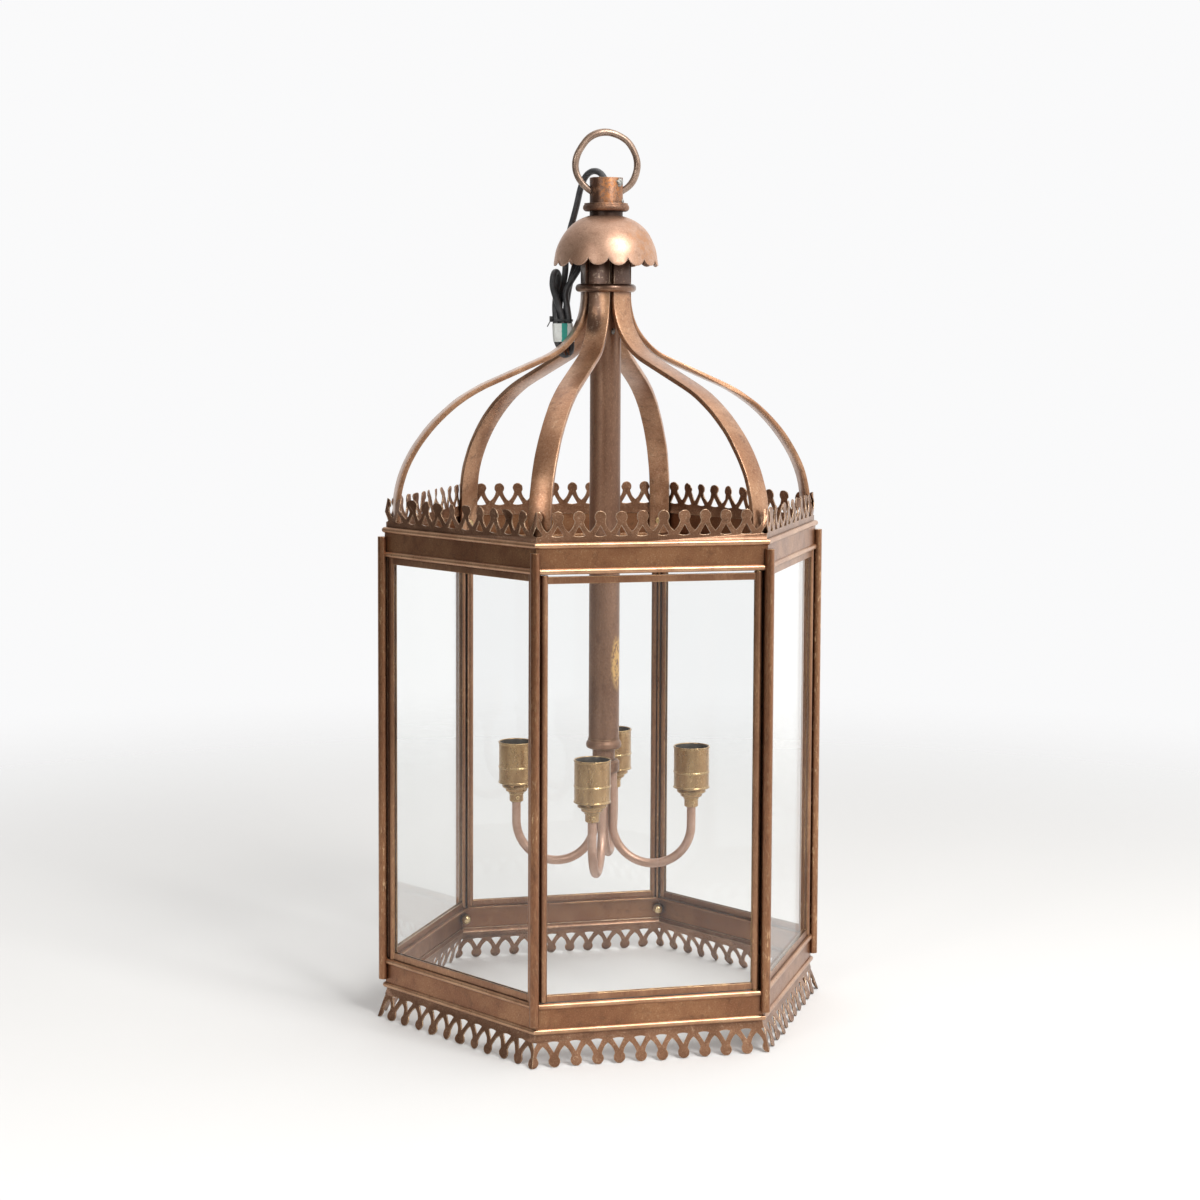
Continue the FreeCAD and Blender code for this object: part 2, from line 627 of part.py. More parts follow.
def dome():
    """The scalloped dome over the barrel: a spun sheet whose rim is cut into lobes."""
    z0 = CROWN_Z + DOME_Z
    top = z0 + DOME_HEIGHT
    shoulder_r = NECK_R + DOME_SHOULDER_OUT * (DOME_RIM_R - NECK_R)
    shoulder_z = top - DOME_SHOULDER_DROP * DOME_HEIGHT
    lip_r, lip_z = DOME_RIM_R - DOME_LIP_IN, z0 + DOME_LIP_RISE * DOME_HEIGHT

    def skin(inset):
        out, down = (inset * share for share in DOME_SHOULDER_INSET)
        shoulder, lip = at(shoulder_r - out, shoulder_z - down), at(lip_r - inset, lip_z)
        return [arc(at(NECK_R, top - inset), shoulder, lip), line(lip, at(DOME_RIM_R - inset, z0))]

    outer, inner = skin(0), skin(DOME_SHEET)
    closing = [
        line(at(DOME_RIM_R, z0), at(DOME_RIM_R - DOME_SHEET, z0)),
        line(at(NECK_R, top), at(NECK_R, top - DOME_SHEET)),
    ]
    shell = turned(Part.sortEdges(outer + inner + closing)[0])
    half_pitch = DOME_RIM_R * math.sin(math.pi / SCALLOPS)
    lobe_r = (half_pitch**2 + SCALLOP_DEPTH**2) / (2 * SCALLOP_DEPTH)
    waste = tube(DOME_RIM_R + CUT_PAST, DOME_RIM_R / 2, z0 - CUT_PAST, z0 + SCALLOP_DEPTH)
    lobe = radial_pin(lobe_r, 0, DOME_RIM_R + 2 * CUT_PAST, z0 + lobe_r)
    return shell.cut(waste.cut([turn(lobe, 360 / SCALLOPS * k) for k in range(SCALLOPS)]))


def ring_centre():
    """Centre of the hanging ring, so that its rod crosses the neck wall on the hole axis."""
    wall_middle = NECK_R - NECK_WALL / 2
    return V(0, 0, RING_HOLE + math.sqrt(RING_R**2 - wall_middle**2))


def hanging_ring():
    """An open ring whose two ends sit inside the neck."""
    centre = ring_centre()
    gap = math.asin(RING_END_X / RING_R)
    start = centre + V(math.sin(gap), 0, -math.cos(gap)) * RING_R
    tangent = V(math.cos(gap), 0, math.sin(gap))
    section = Part.Face(Part.Wire(Part.Circle(start, tangent, RING_ROD_R).toShape()))
    return section.revolve(centre, V(0, -1, 0), 360 - 2 * math.degrees(gap))


def crown_fittings():
    """Core, collars, dome, neck tube, flex grip and hanging ring."""
    core = turn(hex_prism(CORE_APOTHEM, CROWN_Z, CROWN_Z + CORE_HEIGHT), 30)
    core = core.cut(post(STEM_R, CROWN_Z, NECK_FOOT)).cut(post(NECK_R, NECK_FOOT, CROWN_Z + CORE_HEIGHT))
    save("crown_core", core)

    bundle = math.hypot(BARREL_APOTHEM, STRAP_WIDTH / 2) + NECK_COLLAR_PLAY
    z, half = CROWN_Z + NECK_COLLAR_Z, NECK_COLLAR_HEIGHT / 2
    bulge = arc(at(bundle, z - half), at(bundle + NECK_COLLAR_BULGE, z), at(bundle, z + half))
    save("neck_collar", turned([bulge, line(at(bundle, z + half), at(bundle, z - half))]))
    save("scalloped_dome", dome())

    z0 = CROWN_Z + BEAD_COLLAR_Z
    z1 = z0 + BEAD_COLLAR_HEIGHT
    widest = at(BEAD_COLLAR_R, z0 + BEAD_COLLAR_WIDEST * BEAD_COLLAR_HEIGHT)
    lower = at(BEAD_COLLAR_R - BEAD_COLLAR_FOOT_IN, z0)
    upper = at(BEAD_COLLAR_R - BEAD_COLLAR_LIP_IN, z1 - BEAD_COLLAR_LIP)
    lip = at(BEAD_COLLAR_R - BEAD_COLLAR_LIP_IN, z1)
    outline = [arc(lower, widest, upper)]
    outline += polyline([upper, lip, at(NECK_R, z1), at(NECK_R, z0), lower])
    save("bead_collar", turned(outline))

    top = CROWN_Z + NECK_TOP
    neck = tube(NECK_R, NECK_R - NECK_WALL, NECK_FOOT, top)
    save("neck_tube", neck.cut(radial_pin(RING_HOLE_R, -NECK_R - CUT_PAST, NECK_R + CUT_PAST, RING_HOLE)))

    z = CROWN_Z + GRIP_Z
    inner = NECK_R - NECK_WALL
    bore = FLEX_R - GRIP_SQUEEZE
    save("flex_grip", turned_polygon([
        (bore, z), (inner, z), (inner, z + GRIP_FLANGE), (GRIP_NOSE_R + GRIP_NOSE_TAPER, z + GRIP_FLANGE),
        (GRIP_NOSE_R, GRIP_TOP), (bore, GRIP_TOP)]))
    save("hanging_ring", hanging_ring())


# ---------------------------------------------------------------- stem and lights
def stem():
    """The centre tube, its turned end cap and the boss that carries the arms."""
    save("stem_tube", tube(STEM_R, STEM_R - STEM_WALL, STEM_FOOT_Z, NECK_FOOT))
    plug = STEM_R - STEM_WALL
    foot, top = STEM_FOOT_Z - CAP_HEIGHT, STEM_FOOT_Z + CAP_HEIGHT
    cut = CAP_CHAMFER
    save("stem_end_cap", turned_polygon([
        (CAP_BORE_R, BOSS_TOP), (CAP_SPIGOT_R, BOSS_TOP), (CAP_SPIGOT_R, foot), (CAP_R - cut, foot),
        (CAP_R, foot + cut), (CAP_R, STEM_FOOT_Z - cut), (CAP_R - cut, STEM_FOOT_Z), (plug, STEM_FOOT_Z),
        (plug, top), (CAP_BORE_R, top)]))
    cut = BOSS_CHAMFER
    boss = turned_polygon([
        (0.0, BOSS_FOOT), (BOSS_R - cut, BOSS_FOOT), (BOSS_R, BOSS_FOOT + cut), (BOSS_R, BOSS_TOP - cut),
        (BOSS_R - cut, BOSS_TOP), (0.0, BOSS_TOP)])
    seat = post(ARM_R, BOSS_FOOT, BOSS_FOOT + ARM_BITE, ARM_INNER, 0)
    for k in range(4):
        boss = boss.cut(turn(seat, CLUSTER_TURN + 90 * k))
    save("cluster_boss", boss)


def arms():
    """Four U-bent arms, from the boss down, round and up into their holders."""
    lowest = at(ARM_INNER + ARM_BEND_R, ARM_BEND_Z - ARM_BEND_R)
    bend = [at(ARM_INNER, ARM_BEND_Z), lowest, at(ARM_OUTER, ARM_BEND_Z)]
    path = Part.Wire([
        line(at(ARM_INNER, BOSS_FOOT + ARM_BITE), bend[0]),
        arc(*bend),
        line(bend[2], at(ARM_OUTER, HOLDER_Z + ARM_BITE)),
    ])
    arm = pipe(path, ARM_R).cut(pipe(path, ARM_R - ARM_WALL))
    for k in range(4):
        save(f"cluster_arm_{k + 1}", turn(arm, CLUSTER_TURN + 90 * k))


def lampholders():
    """Four brass holders: a stepped cap, an outer shell and a screw insert in each."""
    step = HOLDER_Z + HOLDER_NECK_HEIGHT
    base = step + HOLDER_STEP_HEIGHT
    rim = base + HOLDER_HEIGHT
    inner = HOLDER_R - HOLDER_WALL
    cap = turned_polygon([
        (ARM_R, HOLDER_Z), (HOLDER_NECK_R - HOLDER_NECK_CHAMFER, HOLDER_Z),
        (HOLDER_NECK_R, HOLDER_Z + HOLDER_NECK_CHAMFER), (HOLDER_NECK_R, step),
        (HOLDER_STEP_R - HOLDER_STEP_FOOT_IN, step),
        (HOLDER_STEP_R - HOLDER_STEP_HIP_IN, step + HOLDER_STEP_HIP),
        (HOLDER_STEP_R - HOLDER_STEP_SHOULDER_IN, step + HOLDER_STEP_SHOULDER),
        (HOLDER_STEP_R, base - HOLDER_STEP_BAND), (HOLDER_STEP_R, base), (ARM_R, base)])
    bead_z = rim - HOLDER_BEAD_DROP
    wall = turned_polygon([
        (ARM_R, base), (HOLDER_STEP_R + HOLDER_FOOT_PROUD, base), (HOLDER_R, base + HOLDER_FOOT_CHAMFER),
        (HOLDER_R, rim), (inner, rim), (inner, base + HOLDER_WALL), (ARM_R, base + HOLDER_WALL)])
    hollow = post(inner + HOLDER_WALL / 2, bead_z - 2 * HOLDER_BEAD_R, bead_z + 2 * HOLDER_BEAD_R)
    ring = Part.makeTorus(HOLDER_R, HOLDER_BEAD_R, V(0, 0, bead_z)).cut(hollow)
    shell = wall.fuse(ring).removeSplitter()
    face = rim - INSERT_DROP
    insert = tube(inner, THREAD_R, face - THREAD_DEPTH, face)
    insert = insert.fuse(post(inner, base + HOLDER_WALL, face - THREAD_DEPTH)).removeSplitter()
    places = []
    for k in range(4):
        angle = math.radians(CLUSTER_TURN + 90 * k)
        places.append(V(ARM_OUTER * math.cos(angle), ARM_OUTER * math.sin(angle), 0))
        save(f"lampholder_shell_{k + 1}", moved(shell, places[k]))
    save("lampholder_caps", Part.makeCompound([moved(cap, place) for place in places]))
    save("lampholder_inserts", Part.makeCompound([moved(insert, place) for place in places]))


def moved(shape, by):
    """A copy set down somewhere else."""
    copy = shape.copy()
    copy.translate(by)
    return copy


# ---------------------------------------------------------------- flex
def rounded_route(points):
    """A wire of straight runs and tangent arcs along the points, with the arc radii."""
    edges, radii = [], []
    here = points[0]
    for before, corner, after in zip(points, points[1:], points[2:]):
        into, out = corner - before, after - corner
        reach = 0.45 * min(into.Length, out.Length)
        half_turn = into.getAngle(out) / 2
        radii.append(reach / math.tan(half_turn))
        start, end = corner - into.normalize() * reach, corner + out.normalize() * reach
        sagitta = radii[-1] * (1 / math.cos(half_turn) - 1)
        inward = ((start + end) * 0.5 - corner).normalize()
        edges += [line(here, start), arc(start, corner + inward * sagitta, end)]
        here = end
    edges.append(line(here, points[-1]))
    return Part.Wire(edges), radii


def ellipse_section(centre, half_width, half_depth):
    """A level ellipse of the hank, wide across the view of the door side."""
    angle = math.radians(HANK_AXIS_TURN)
    along, across = V(math.cos(angle), math.sin(angle), 0), V(-math.sin(angle), math.cos(angle), 0)
    curve = Part.Ellipse(centre + along * half_width, centre + across * half_depth, centre)
    return Part.Wire(curve.toShape())


def sleeve(sections, span, thickness):
    """A band round the hank between two heights, thickness proud of it."""
    z0, z1 = span
    middle = (z0 + z1) / 2
    for (a, wa, da), (b, wb, db) in zip(sections, sections[1:]):
        if b.z <= middle <= a.z:
            share = (a.z - middle) / (a.z - b.z)
            centre = a + (b - a) * share
            width, depth = wa + (wb - wa) * share, da + (db - da) * share
    foot = ellipse_section(V(centre.x, centre.y, z0), width + thickness, depth + thickness)
    return Part.Face(foot).extrude(V(0, 0, z1 - z0))


def flex():
    """The flex's free stretch, its tied hank, tie, tag and three bare cores."""
    path, radii = rounded_route(FLEX_ROUTE)
    print("flex bend radii, mm:", [round(r, 1) for r in radii], "route length:", round(path.Length, 1))
    cord = pipe(path, FLEX_R)
    hank = Part.makeLoft([ellipse_section(*section) for section in HANK_SECTIONS], True)
    expected = math.pi * FLEX_R**2 * path.Length
    print("flex volume against section times length:", round(cord.Volume / expected, 4))
    save("flex_cord", cord.cut(hank))
    save("flex_hank", hank)
    save("flex_tag", sleeve(HANK_SECTIONS, TAG_SPAN, TAG_THICKNESS).cut(hank))
    save("flex_tie", sleeve(HANK_SECTIONS, TIE_SPAN, TIE_THICKNESS).cut(hank))
    cores = []
    for tip in CORE_TIPS:
        way = tip - CORE_SEAT
        cores.append(Part.makeCylinder(FLEX_CORE_R, way.Length, CORE_SEAT, way).cut(hank))
    save("flex_cores", Part.makeCompound(cores))


def main():
    corner_posts(rails())
    galleries()
    fasteners()
    fixed_panes()
    door()
    straps()
    crown_fittings()
    stem()
    arms()
    lampholders()
    flex()
    os.makedirs("parts", exist_ok=True)
    for name, shape in PARTS.items():
        shape.exportStep(f"parts/{name}.step")
    print(len(PARTS), "sub-parts, crown base at", round(CROWN_Z, 2), "slope", round(STRAP_STRAIGHT, 2))


main()
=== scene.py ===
"""A hexagonal hanging lantern in patinated copper and brass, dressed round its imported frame."""

import json
import logging
import math
from dataclasses import dataclass, field
from enum import Enum
from typing import ClassVar

import bmesh
import bpy
from mathutils import Matrix, Vector, noise

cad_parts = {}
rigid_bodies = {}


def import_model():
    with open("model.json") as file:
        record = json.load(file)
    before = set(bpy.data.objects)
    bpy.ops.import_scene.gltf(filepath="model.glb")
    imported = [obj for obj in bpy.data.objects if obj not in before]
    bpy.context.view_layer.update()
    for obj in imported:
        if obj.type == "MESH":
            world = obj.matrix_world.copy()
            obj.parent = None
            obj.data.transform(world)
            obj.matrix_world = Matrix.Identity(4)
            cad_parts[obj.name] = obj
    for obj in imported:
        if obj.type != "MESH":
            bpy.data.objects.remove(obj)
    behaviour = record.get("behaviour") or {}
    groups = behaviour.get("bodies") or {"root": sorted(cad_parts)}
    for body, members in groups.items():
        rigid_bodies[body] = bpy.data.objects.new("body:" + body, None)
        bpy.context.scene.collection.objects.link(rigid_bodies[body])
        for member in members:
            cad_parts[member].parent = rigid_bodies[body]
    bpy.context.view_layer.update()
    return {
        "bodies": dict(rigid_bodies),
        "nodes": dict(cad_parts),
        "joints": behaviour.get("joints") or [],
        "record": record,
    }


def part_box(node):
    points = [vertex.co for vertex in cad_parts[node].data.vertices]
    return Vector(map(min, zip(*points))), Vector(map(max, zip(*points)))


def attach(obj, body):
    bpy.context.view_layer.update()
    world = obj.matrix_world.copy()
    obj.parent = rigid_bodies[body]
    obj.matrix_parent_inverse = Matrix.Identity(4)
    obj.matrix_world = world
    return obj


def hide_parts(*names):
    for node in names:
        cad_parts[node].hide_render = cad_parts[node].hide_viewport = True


LOG = logging.getLogger("lantern")

Colour = tuple[float, float, float]
Point = tuple[float, float, float]
Span = tuple[float, float]
Socket = bpy.types.NodeSocket

MM = 0.001
# Holds the hand-made dents to one arrangement. In most others the ring rubs on the neck.
DENT_SEED = 2
SMOOTH_UP_TO = math.radians(38)
MERGE_WITHIN = 1e-6


# ---------------------------------------------------------------- node trees
class Graph:
    """A material's or a world's node tree, written one node at a time."""

    FLAT_TO_ARRIS: ClassVar[Span] = (0.995, 0.86)
    RIM_TO_MIDDLE: ClassVar[Span] = (1.0, 0.55)

    def __init__(self, tree: bpy.types.NodeTree) -> None:
        """Empties the tree."""
        self.tree = tree
        tree.nodes.clear()

    def node(self, kind: str, inputs: dict | None = None, **settings: object) -> bpy.types.Node:
        """Adds a node.

        Args:
            kind: The node's type without its "ShaderNode" prefix.
            inputs: Values or sockets by input name or number.
            **settings: The node's own properties.

        Returns:
            The node.
        """
        made = self.tree.nodes.new("ShaderNode" + kind)
        for key, value in settings.items():
            setattr(made, key, value)
        for key, value in (inputs or {}).items():
            if isinstance(value, Socket):
                self.tree.links.new(value, made.inputs[key])
            elif isinstance(value, tuple) and len(value) == 3 and made.inputs[key].type == "RGBA":
                made.inputs[key].default_value = (*value, 1.0)
            else:
                made.inputs[key].default_value = value
        return made

    def noise(
        self, at: Socket, scale: float, detail: float = 4.0, rough: float = 0.55, twist: float = 0.0
    ) -> Socket:
        """A noise value over the given coordinates, with scale in cells per metre."""
        inputs = {"Vector": at, "Scale": scale, "Detail": detail, "Roughness": rough, "Distortion": twist}
        return self.node("TexNoise", inputs).outputs["Fac"]

    def ramp(
        self, value: Socket, low: float, high: float, to_low: float = 0.0, to_high: float = 1.0
    ) -> Socket:
        """The value eased from low..high to to_low..to_high."""
        spans = {0: value, 1: low, 2: high, 3: to_low, 4: to_high}
        return self.node("MapRange", spans, interpolation_type="SMOOTHSTEP").outputs[0]

    def math(self, step: str, a: Socket | float, b: Socket | float = 0.0) -> Socket:
        """One step of arithmetic on two numbers, kept between 0 and 1."""
        return self.node("Math", {0: a, 1: b}, operation=step, use_clamp=True).outputs[0]

    def mix(self, share: Socket | float, a: Socket | Colour, b: Socket | Colour) -> Socket:
        """Colour a with the given share of colour b over it."""
        made = self.node("Mix", {0: share, 6: a, 7: b}, data_type="RGBA", clamp_factor=True)
        return made.outputs[2]

    def place(self, stretch: Point = (1.0, 1.0, 1.0)) -> Socket:
        """Object coordinates, stretched."""
        source = self.node("TexCoord").outputs["Object"]
        return self.node("Mapping", {"Vector": source, "Scale": stretch}).outputs["Vector"]

    def edges(self, radius: float) -> tuple[Socket, Socket]:
        """Finds the arrises.

        Args:
            radius: How far from an edge it still counts.

        Returns:
            How near the surface is to a sharp edge, 0 on flats and 1 on arrises, and the rounded normal.
        """
        rounded = self.node("Bevel", {"Radius": radius}, samples=4).outputs["Normal"]
        flat = self.node("NewGeometry").outputs["Normal"]
        alike = self.node("VectorMath", {0: rounded, 1: flat}, operation="DOT_PRODUCT").outputs["Value"]
        return self.ramp(alike, *self.FLAT_TO_ARRIS), rounded

    def near(self, centre: Point, reach: Point) -> Socket:
        """A soft ellipsoid mask: 1 at its centre and 0 past its reach.

        Args:
            centre: The middle of the patch, in metres.
            reach: Its half sizes, in metres.

        Returns:
            The mask.
        """
        at = self.node("TexCoord").outputs["Object"]
        offset = self.node("VectorMath", {0: at, 1: centre}, operation="SUBTRACT").outputs["Vector"]
        shrink = tuple(1 / r for r in reach)
        scaled = self.node("VectorMath", {0: offset, 1: shrink}, operation="MULTIPLY").outputs["Vector"]
        far = self.node("VectorMath", {0: scaled}, operation="LENGTH").outputs["Value"]
        return self.ramp(far, *self.RIM_TO_MIDDLE)

    def surface(self, shader: bpy.types.Node, output: str = "OutputMaterial") -> None:
        """Ends the tree in the shader's first output."""
        self.node(output, {"Surface": shader.outputs[0]})


def new_material(name: str) -> tuple[bpy.types.Material, Graph]:
    """A fresh material and its empty graph.

    Args:
        name: The material's name.

    Returns:
        The material, and the graph to write its nodes in.
    """
    made = bpy.data.materials.new(name)
    made.use_nodes = True
    return made, Graph(made.node_tree)


# ---------------------------------------------------------------- finishes
@dataclass(frozen=True)
class Patch:
    """A local mark in a finish: bare metal, rust, darker patina, or painted shade and shadow."""

    centre: Point
    reach: Point
    colour: Colour
    strength: float
    grain: float
    edge: Span


@dataclass(frozen=True)
class AgedMetal:
    """Old copper or brass: mottled brown, stained in places and rubbed bare on its edges.

    The four colours run from the darkest patina to bare metal. Patches, speckle and grain are noise scales,
    in cells per metre. Stain, wear, flecks and the darkening of creases are shares from 0 to 1; that
    darkening is partly dirt and partly painted shade, strongest in creases and under ledges.
    """

    name: str
    deep: Colour
    mid: Colour
    warm: Colour
    worn: Colour
    patches: float = 24.0
    speckle: float = 170.0
    grain: float = 760.0
    stain: float = 0.35
    wear: float = 0.75
    wear_radius: float = 1.1 * MM
    rough: Span = (0.32, 0.52)
    metallic: float = 0.85
    lacquer: float = 0.35
    relief: float = 0.3
    stretch: Point = (1.0, 1.0, 1.0)
    # share of darkening in creases and under ledges, partly dirt and partly painted shade
    dimming: float = 0.75
    flecks: float = 0.0
    marks: tuple[Patch, ...] = ()

    MOTTLE: ClassVar[Span] = (0.36, 0.66)
    SPECKS: ClassVar[Span] = (0.50, 0.76)
    PITS: ClassVar[Span] = (0.52, 0.74)
    GLINTS: ClassVar[Span] = (0.48, 0.28)
    GLINT_SHARE: ClassVar[float] = 0.22
    CREASE_DEPTH: ClassVar[float] = 7 * MM
    CREASE: ClassVar[Span] = (0.86, 0.42)
    CHIPS: ClassVar[Span] = (0.56, 0.64)
    SHINE: ClassVar[Span] = (0.35, 0.65)
    PIT_DEPTH: ClassVar[float] = 0.4 * MM
    LACQUER_ROUGH: ClassVar[float] = 0.28

    def patina(self, g: Graph, broad: Socket, fine: Socket, grain: Socket) -> Socket:
        """The mottled colour, with dark specks and pits and small glints of metal."""
        skin = g.mix(g.ramp(broad, *self.MOTTLE), self.mid, self.warm)
        for value, span in ((fine, self.SPECKS), (grain, self.PITS)):
            skin = g.mix(g.math("MULTIPLY", g.ramp(value, *span), self.stain), skin, self.deep)
        return g.mix(g.math("MULTIPLY", g.ramp(grain, *self.GLINTS), self.GLINT_SHARE), skin, self.worn)

    def marked(self, g: Graph, at: Socket, skin: Socket) -> Socket:
        """The colour with its local marks over it, ragged at their edges."""
        for mark in self.marks:
            broken = g.ramp(g.noise(at, mark.grain, 5.0, 0.7), *mark.edge)
            share = g.math("MULTIPLY", g.near(mark.centre, mark.reach), broken)
            skin = g.mix(g.math("MULTIPLY", share, mark.strength), skin, mark.colour)
        return skin

    def dimmed(self, g: Graph, skin: Socket) -> Socket:
        """The colour darkened by ambient occlusion in creases and under ledges: partly dirt, partly painted
        shade.
        """
        open_air = g.node("AmbientOcclusion", {"Distance": self.CREASE_DEPTH}, samples=4).outputs["AO"]
        # painted shade, partly dirt: occluded creases and the undersides of ledges take the deepest colour
        return g.mix(g.math("MULTIPLY", g.ramp(open_air, *self.CREASE), self.dimming), skin, self.deep)

    def rubbed(self, g: Graph, at: Socket, broad: Socket, edge: Socket, skin: Socket) -> Socket:
        """The colour with chips and worn arrises, more in some places than in others."""
        if self.flecks:
            chip = g.ramp(g.noise(at, self.grain * 0.55, 5.0, 0.7), *self.CHIPS)
            chip = g.math("MULTIPLY", chip, g.ramp(broad, 0.46, 0.60, 0.15, 1.0))
            skin = g.mix(g.math("MULTIPLY", chip, self.flecks), skin, self.worn)
        rub = g.ramp(g.noise(at, self.patches * 2.6, 4.0, 0.6), 0.36, 0.62, 0.25, 1.0)
        bare = g.math("MULTIPLY", g.math("MULTIPLY", edge, rub), self.wear)
        return g.mix(bare, skin, self.worn)

    def build(self) -> bpy.types.Material:
        """The finish as a material."""
        made, g = new_material(self.name)
        at = g.place(self.stretch)
        broad = g.noise(at, self.patches, 5.0, 0.6, 0.4)
        fine = g.noise(at, self.speckle, 6.0, 0.68)
        grain = g.noise(at, self.grain, 4.0, 0.7)
        edge, rounded = g.edges(self.wear_radius)
        # local marks, some of them painted shadows, then painted shade in creases and under ledges
        skin = self.dimmed(g, self.marked(g, at, self.patina(g, broad, fine, grain)))
        skin = self.rubbed(g, at, broad, edge, skin)
        rough = g.ramp(g.math("MULTIPLY", g.math("ADD", fine, grain), 0.5), *self.SHINE, *self.rough)
        height = g.math("ADD", g.math("MULTIPLY", fine, 0.6), g.math("MULTIPLY", grain, 0.4))
        bump = g.node("Bump", {
            "Height": height, "Strength": self.relief, "Distance": self.PIT_DEPTH, "Normal": rounded,
        })
        g.surface(g.node("BsdfPrincipled", {
            "Base Color": skin, "Metallic": self.metallic, "Roughness": rough,
            "Normal": bump.outputs["Normal"], "Coat Weight": self.lacquer,
            "Coat Roughness": self.LACQUER_ROUGH,
        }))
        return made


@dataclass(frozen=True)
class ClearGlass:
    """Thin clear window glass with a trace of dust.

    It mirrors by the face_on share where seen straight on, and by gloss more at a glancing angle.
    """

    name: str = "clear_window_glass"
    tint: Colour = (0.995, 0.998, 0.997)
    gloss: float = 0.8
    face_on: float = 0.02
    dust: float = 0.008
    dust_colour: Colour = (0.86, 0.86, 0.84)
    glance_power: float = 5.0

    def build(self) -> bpy.types.Material:
        """The finish as a material."""
        made, g = new_material(self.name)
        at = g.place()
        clear = g.node("BsdfTransparent", {"Color": self.tint})
        shine = g.node("BsdfGlossy", {"Color": (1.0, 1.0, 1.0), "Roughness": 0.02})
        film = g.node("BsdfDiffuse", {"Color": self.dust_colour})
        away = g.node("LayerWeight", {"Blend": 0.5}).outputs["Facing"]
        slant = g.node("Math", {0: away, 1: self.glance_power}, operation="POWER").outputs[0]
        mirror = g.node("Math", {0: slant, 1: self.gloss, 2: self.face_on}, operation="MULTIPLY_ADD")
        pane = g.node("MixShader", {0: mirror.outputs[0], 1: clear.outputs[0], 2: shine.outputs[0]})
        veil = g.ramp(g.noise(at, 9.0, 5.0, 0.65), 0.35, 0.75, 0.25 * self.dust, self.dust)
        g.surface(g.node("MixShader", {0: veil, 1: pane.outputs[0], 2: film.outputs[0]}))
        return made


@dataclass(frozen=True)
class Polymer:
    """A plain plastic or rubber: sheath, tie, insert or insulation."""

    name: str
    colour: Colour
    faded: Colour
    rough: float
    grain: float = 900.0
    relief: float = 0.12
    patches: float = 60.0
    rough_spread: float = 0.08

    def build(self) -> bpy.types.Material:
        """The finish as a material."""
        made, g = new_material(self.name)
        at = g.place()
        broad = g.noise(at, self.patches, 4.0, 0.6)
        fine = g.noise(at, self.grain, 3.0, 0.6)
        skin = g.mix(g.ramp(broad, 0.38, 0.66), self.colour, self.faded)
        rough = g.ramp(fine, 0.3, 0.7, self.rough - self.rough_spread, self.rough + self.rough_spread)
        bump = g.node("Bump", {"Height": fine, "Strength": self.relief, "Distance": 0.15 * MM})
        g.surface(g.node("BsdfPrincipled", {
            "Base Color": skin, "Roughness": rough, "Normal": bump.outputs["Normal"],
        }))
        return made


@dataclass(frozen=True)
class BandedTag:
    """White vinyl with one plain coloured band down it."""

    name: str = "banded_tag_vinyl"
    white: Colour = (0.78, 0.82, 0.80)
    band: Colour = (0.02, 0.33, 0.27)
    across: Point = (0.972, -0.235, 0.0)
    band_from: float = -0.0478
    band_to: float = -0.0415
    dimmed: Colour = (0.42, 0.45, 0.44)
    ragged_by: float = 1.2 * MM

    def build(self) -> bpy.types.Material:
        """The finish as a material."""
        made, g = new_material(self.name)
        at = g.node("TexCoord").outputs["Object"]
        side = g.node("VectorMath", {0: at, 1: self.across}, operation="DOT_PRODUCT").outputs["Value"]
        wobble = g.math("MULTIPLY", g.noise(at, 240.0, 2.0), self.ragged_by)
        side = g.node("Math", {0: side, 1: wobble}, operation="ADD").outputs[0]
        after = g.node("Math", {0: side, 1: self.band_from}, operation="GREATER_THAN").outputs[0]
        before = g.node("Math", {0: side, 1: self.band_to}, operation="LESS_THAN").outputs[0]
        dimming = g.ramp(g.noise(at, 420.0, 5.0, 0.7), 0.45, 0.75, 0.0, 0.35)
        paper = g.mix(dimming, self.white, self.dimmed)
        skin = g.mix(g.math("MULTIPLY", after, before), paper, self.band)
        bump = g.node("Bump", {"Height": g.noise(at, 300.0, 3.0), "Strength": 0.3, "Distance": 0.3 * MM})
        g.surface(g.node("BsdfPrincipled", {
            "Base Color": skin, "Roughness": 0.42, "Normal": bump.outputs["Normal"],
        }))
        return made


# ---------------------------------------------------------------- bench work
def settle(bm: bmesh.types.BMesh, name: str, smooth: bool = True) -> bpy.types.Object:
    """Ends a mesh as an object at the origin.

    Args:
        bm: The mesh, which is freed.
        name: The piece's name.
        smooth: Whether its faces shade smooth, apart from sharp edges.

    Returns:
        The piece.
    """
    bmesh.ops.remove_doubles(bm, verts=bm.verts, dist=MERGE_WITHIN)
    bmesh.ops.recalc_face_normals(bm, faces=bm.faces)
    mesh = bpy.data.meshes.new(name)
    bm.to_mesh(mesh)
    bm.free()
    piece = bpy.data.objects.new(name, mesh)
    bpy.context.scene.collection.objects.link(piece)
    if smooth:
        mesh.shade_smooth()
        mesh.set_sharp_from_angle(angle=SMOOTH_UP_TO)
    return piece


def paint(piece: bpy.types.Object, finish: bpy.types.Material) -> None:
    """Gives every material slot of a piece the finish."""
    if not piece.material_slots:
        piece.data.materials.append(finish)
    for held in piece.material_slots:
        held.material = finish


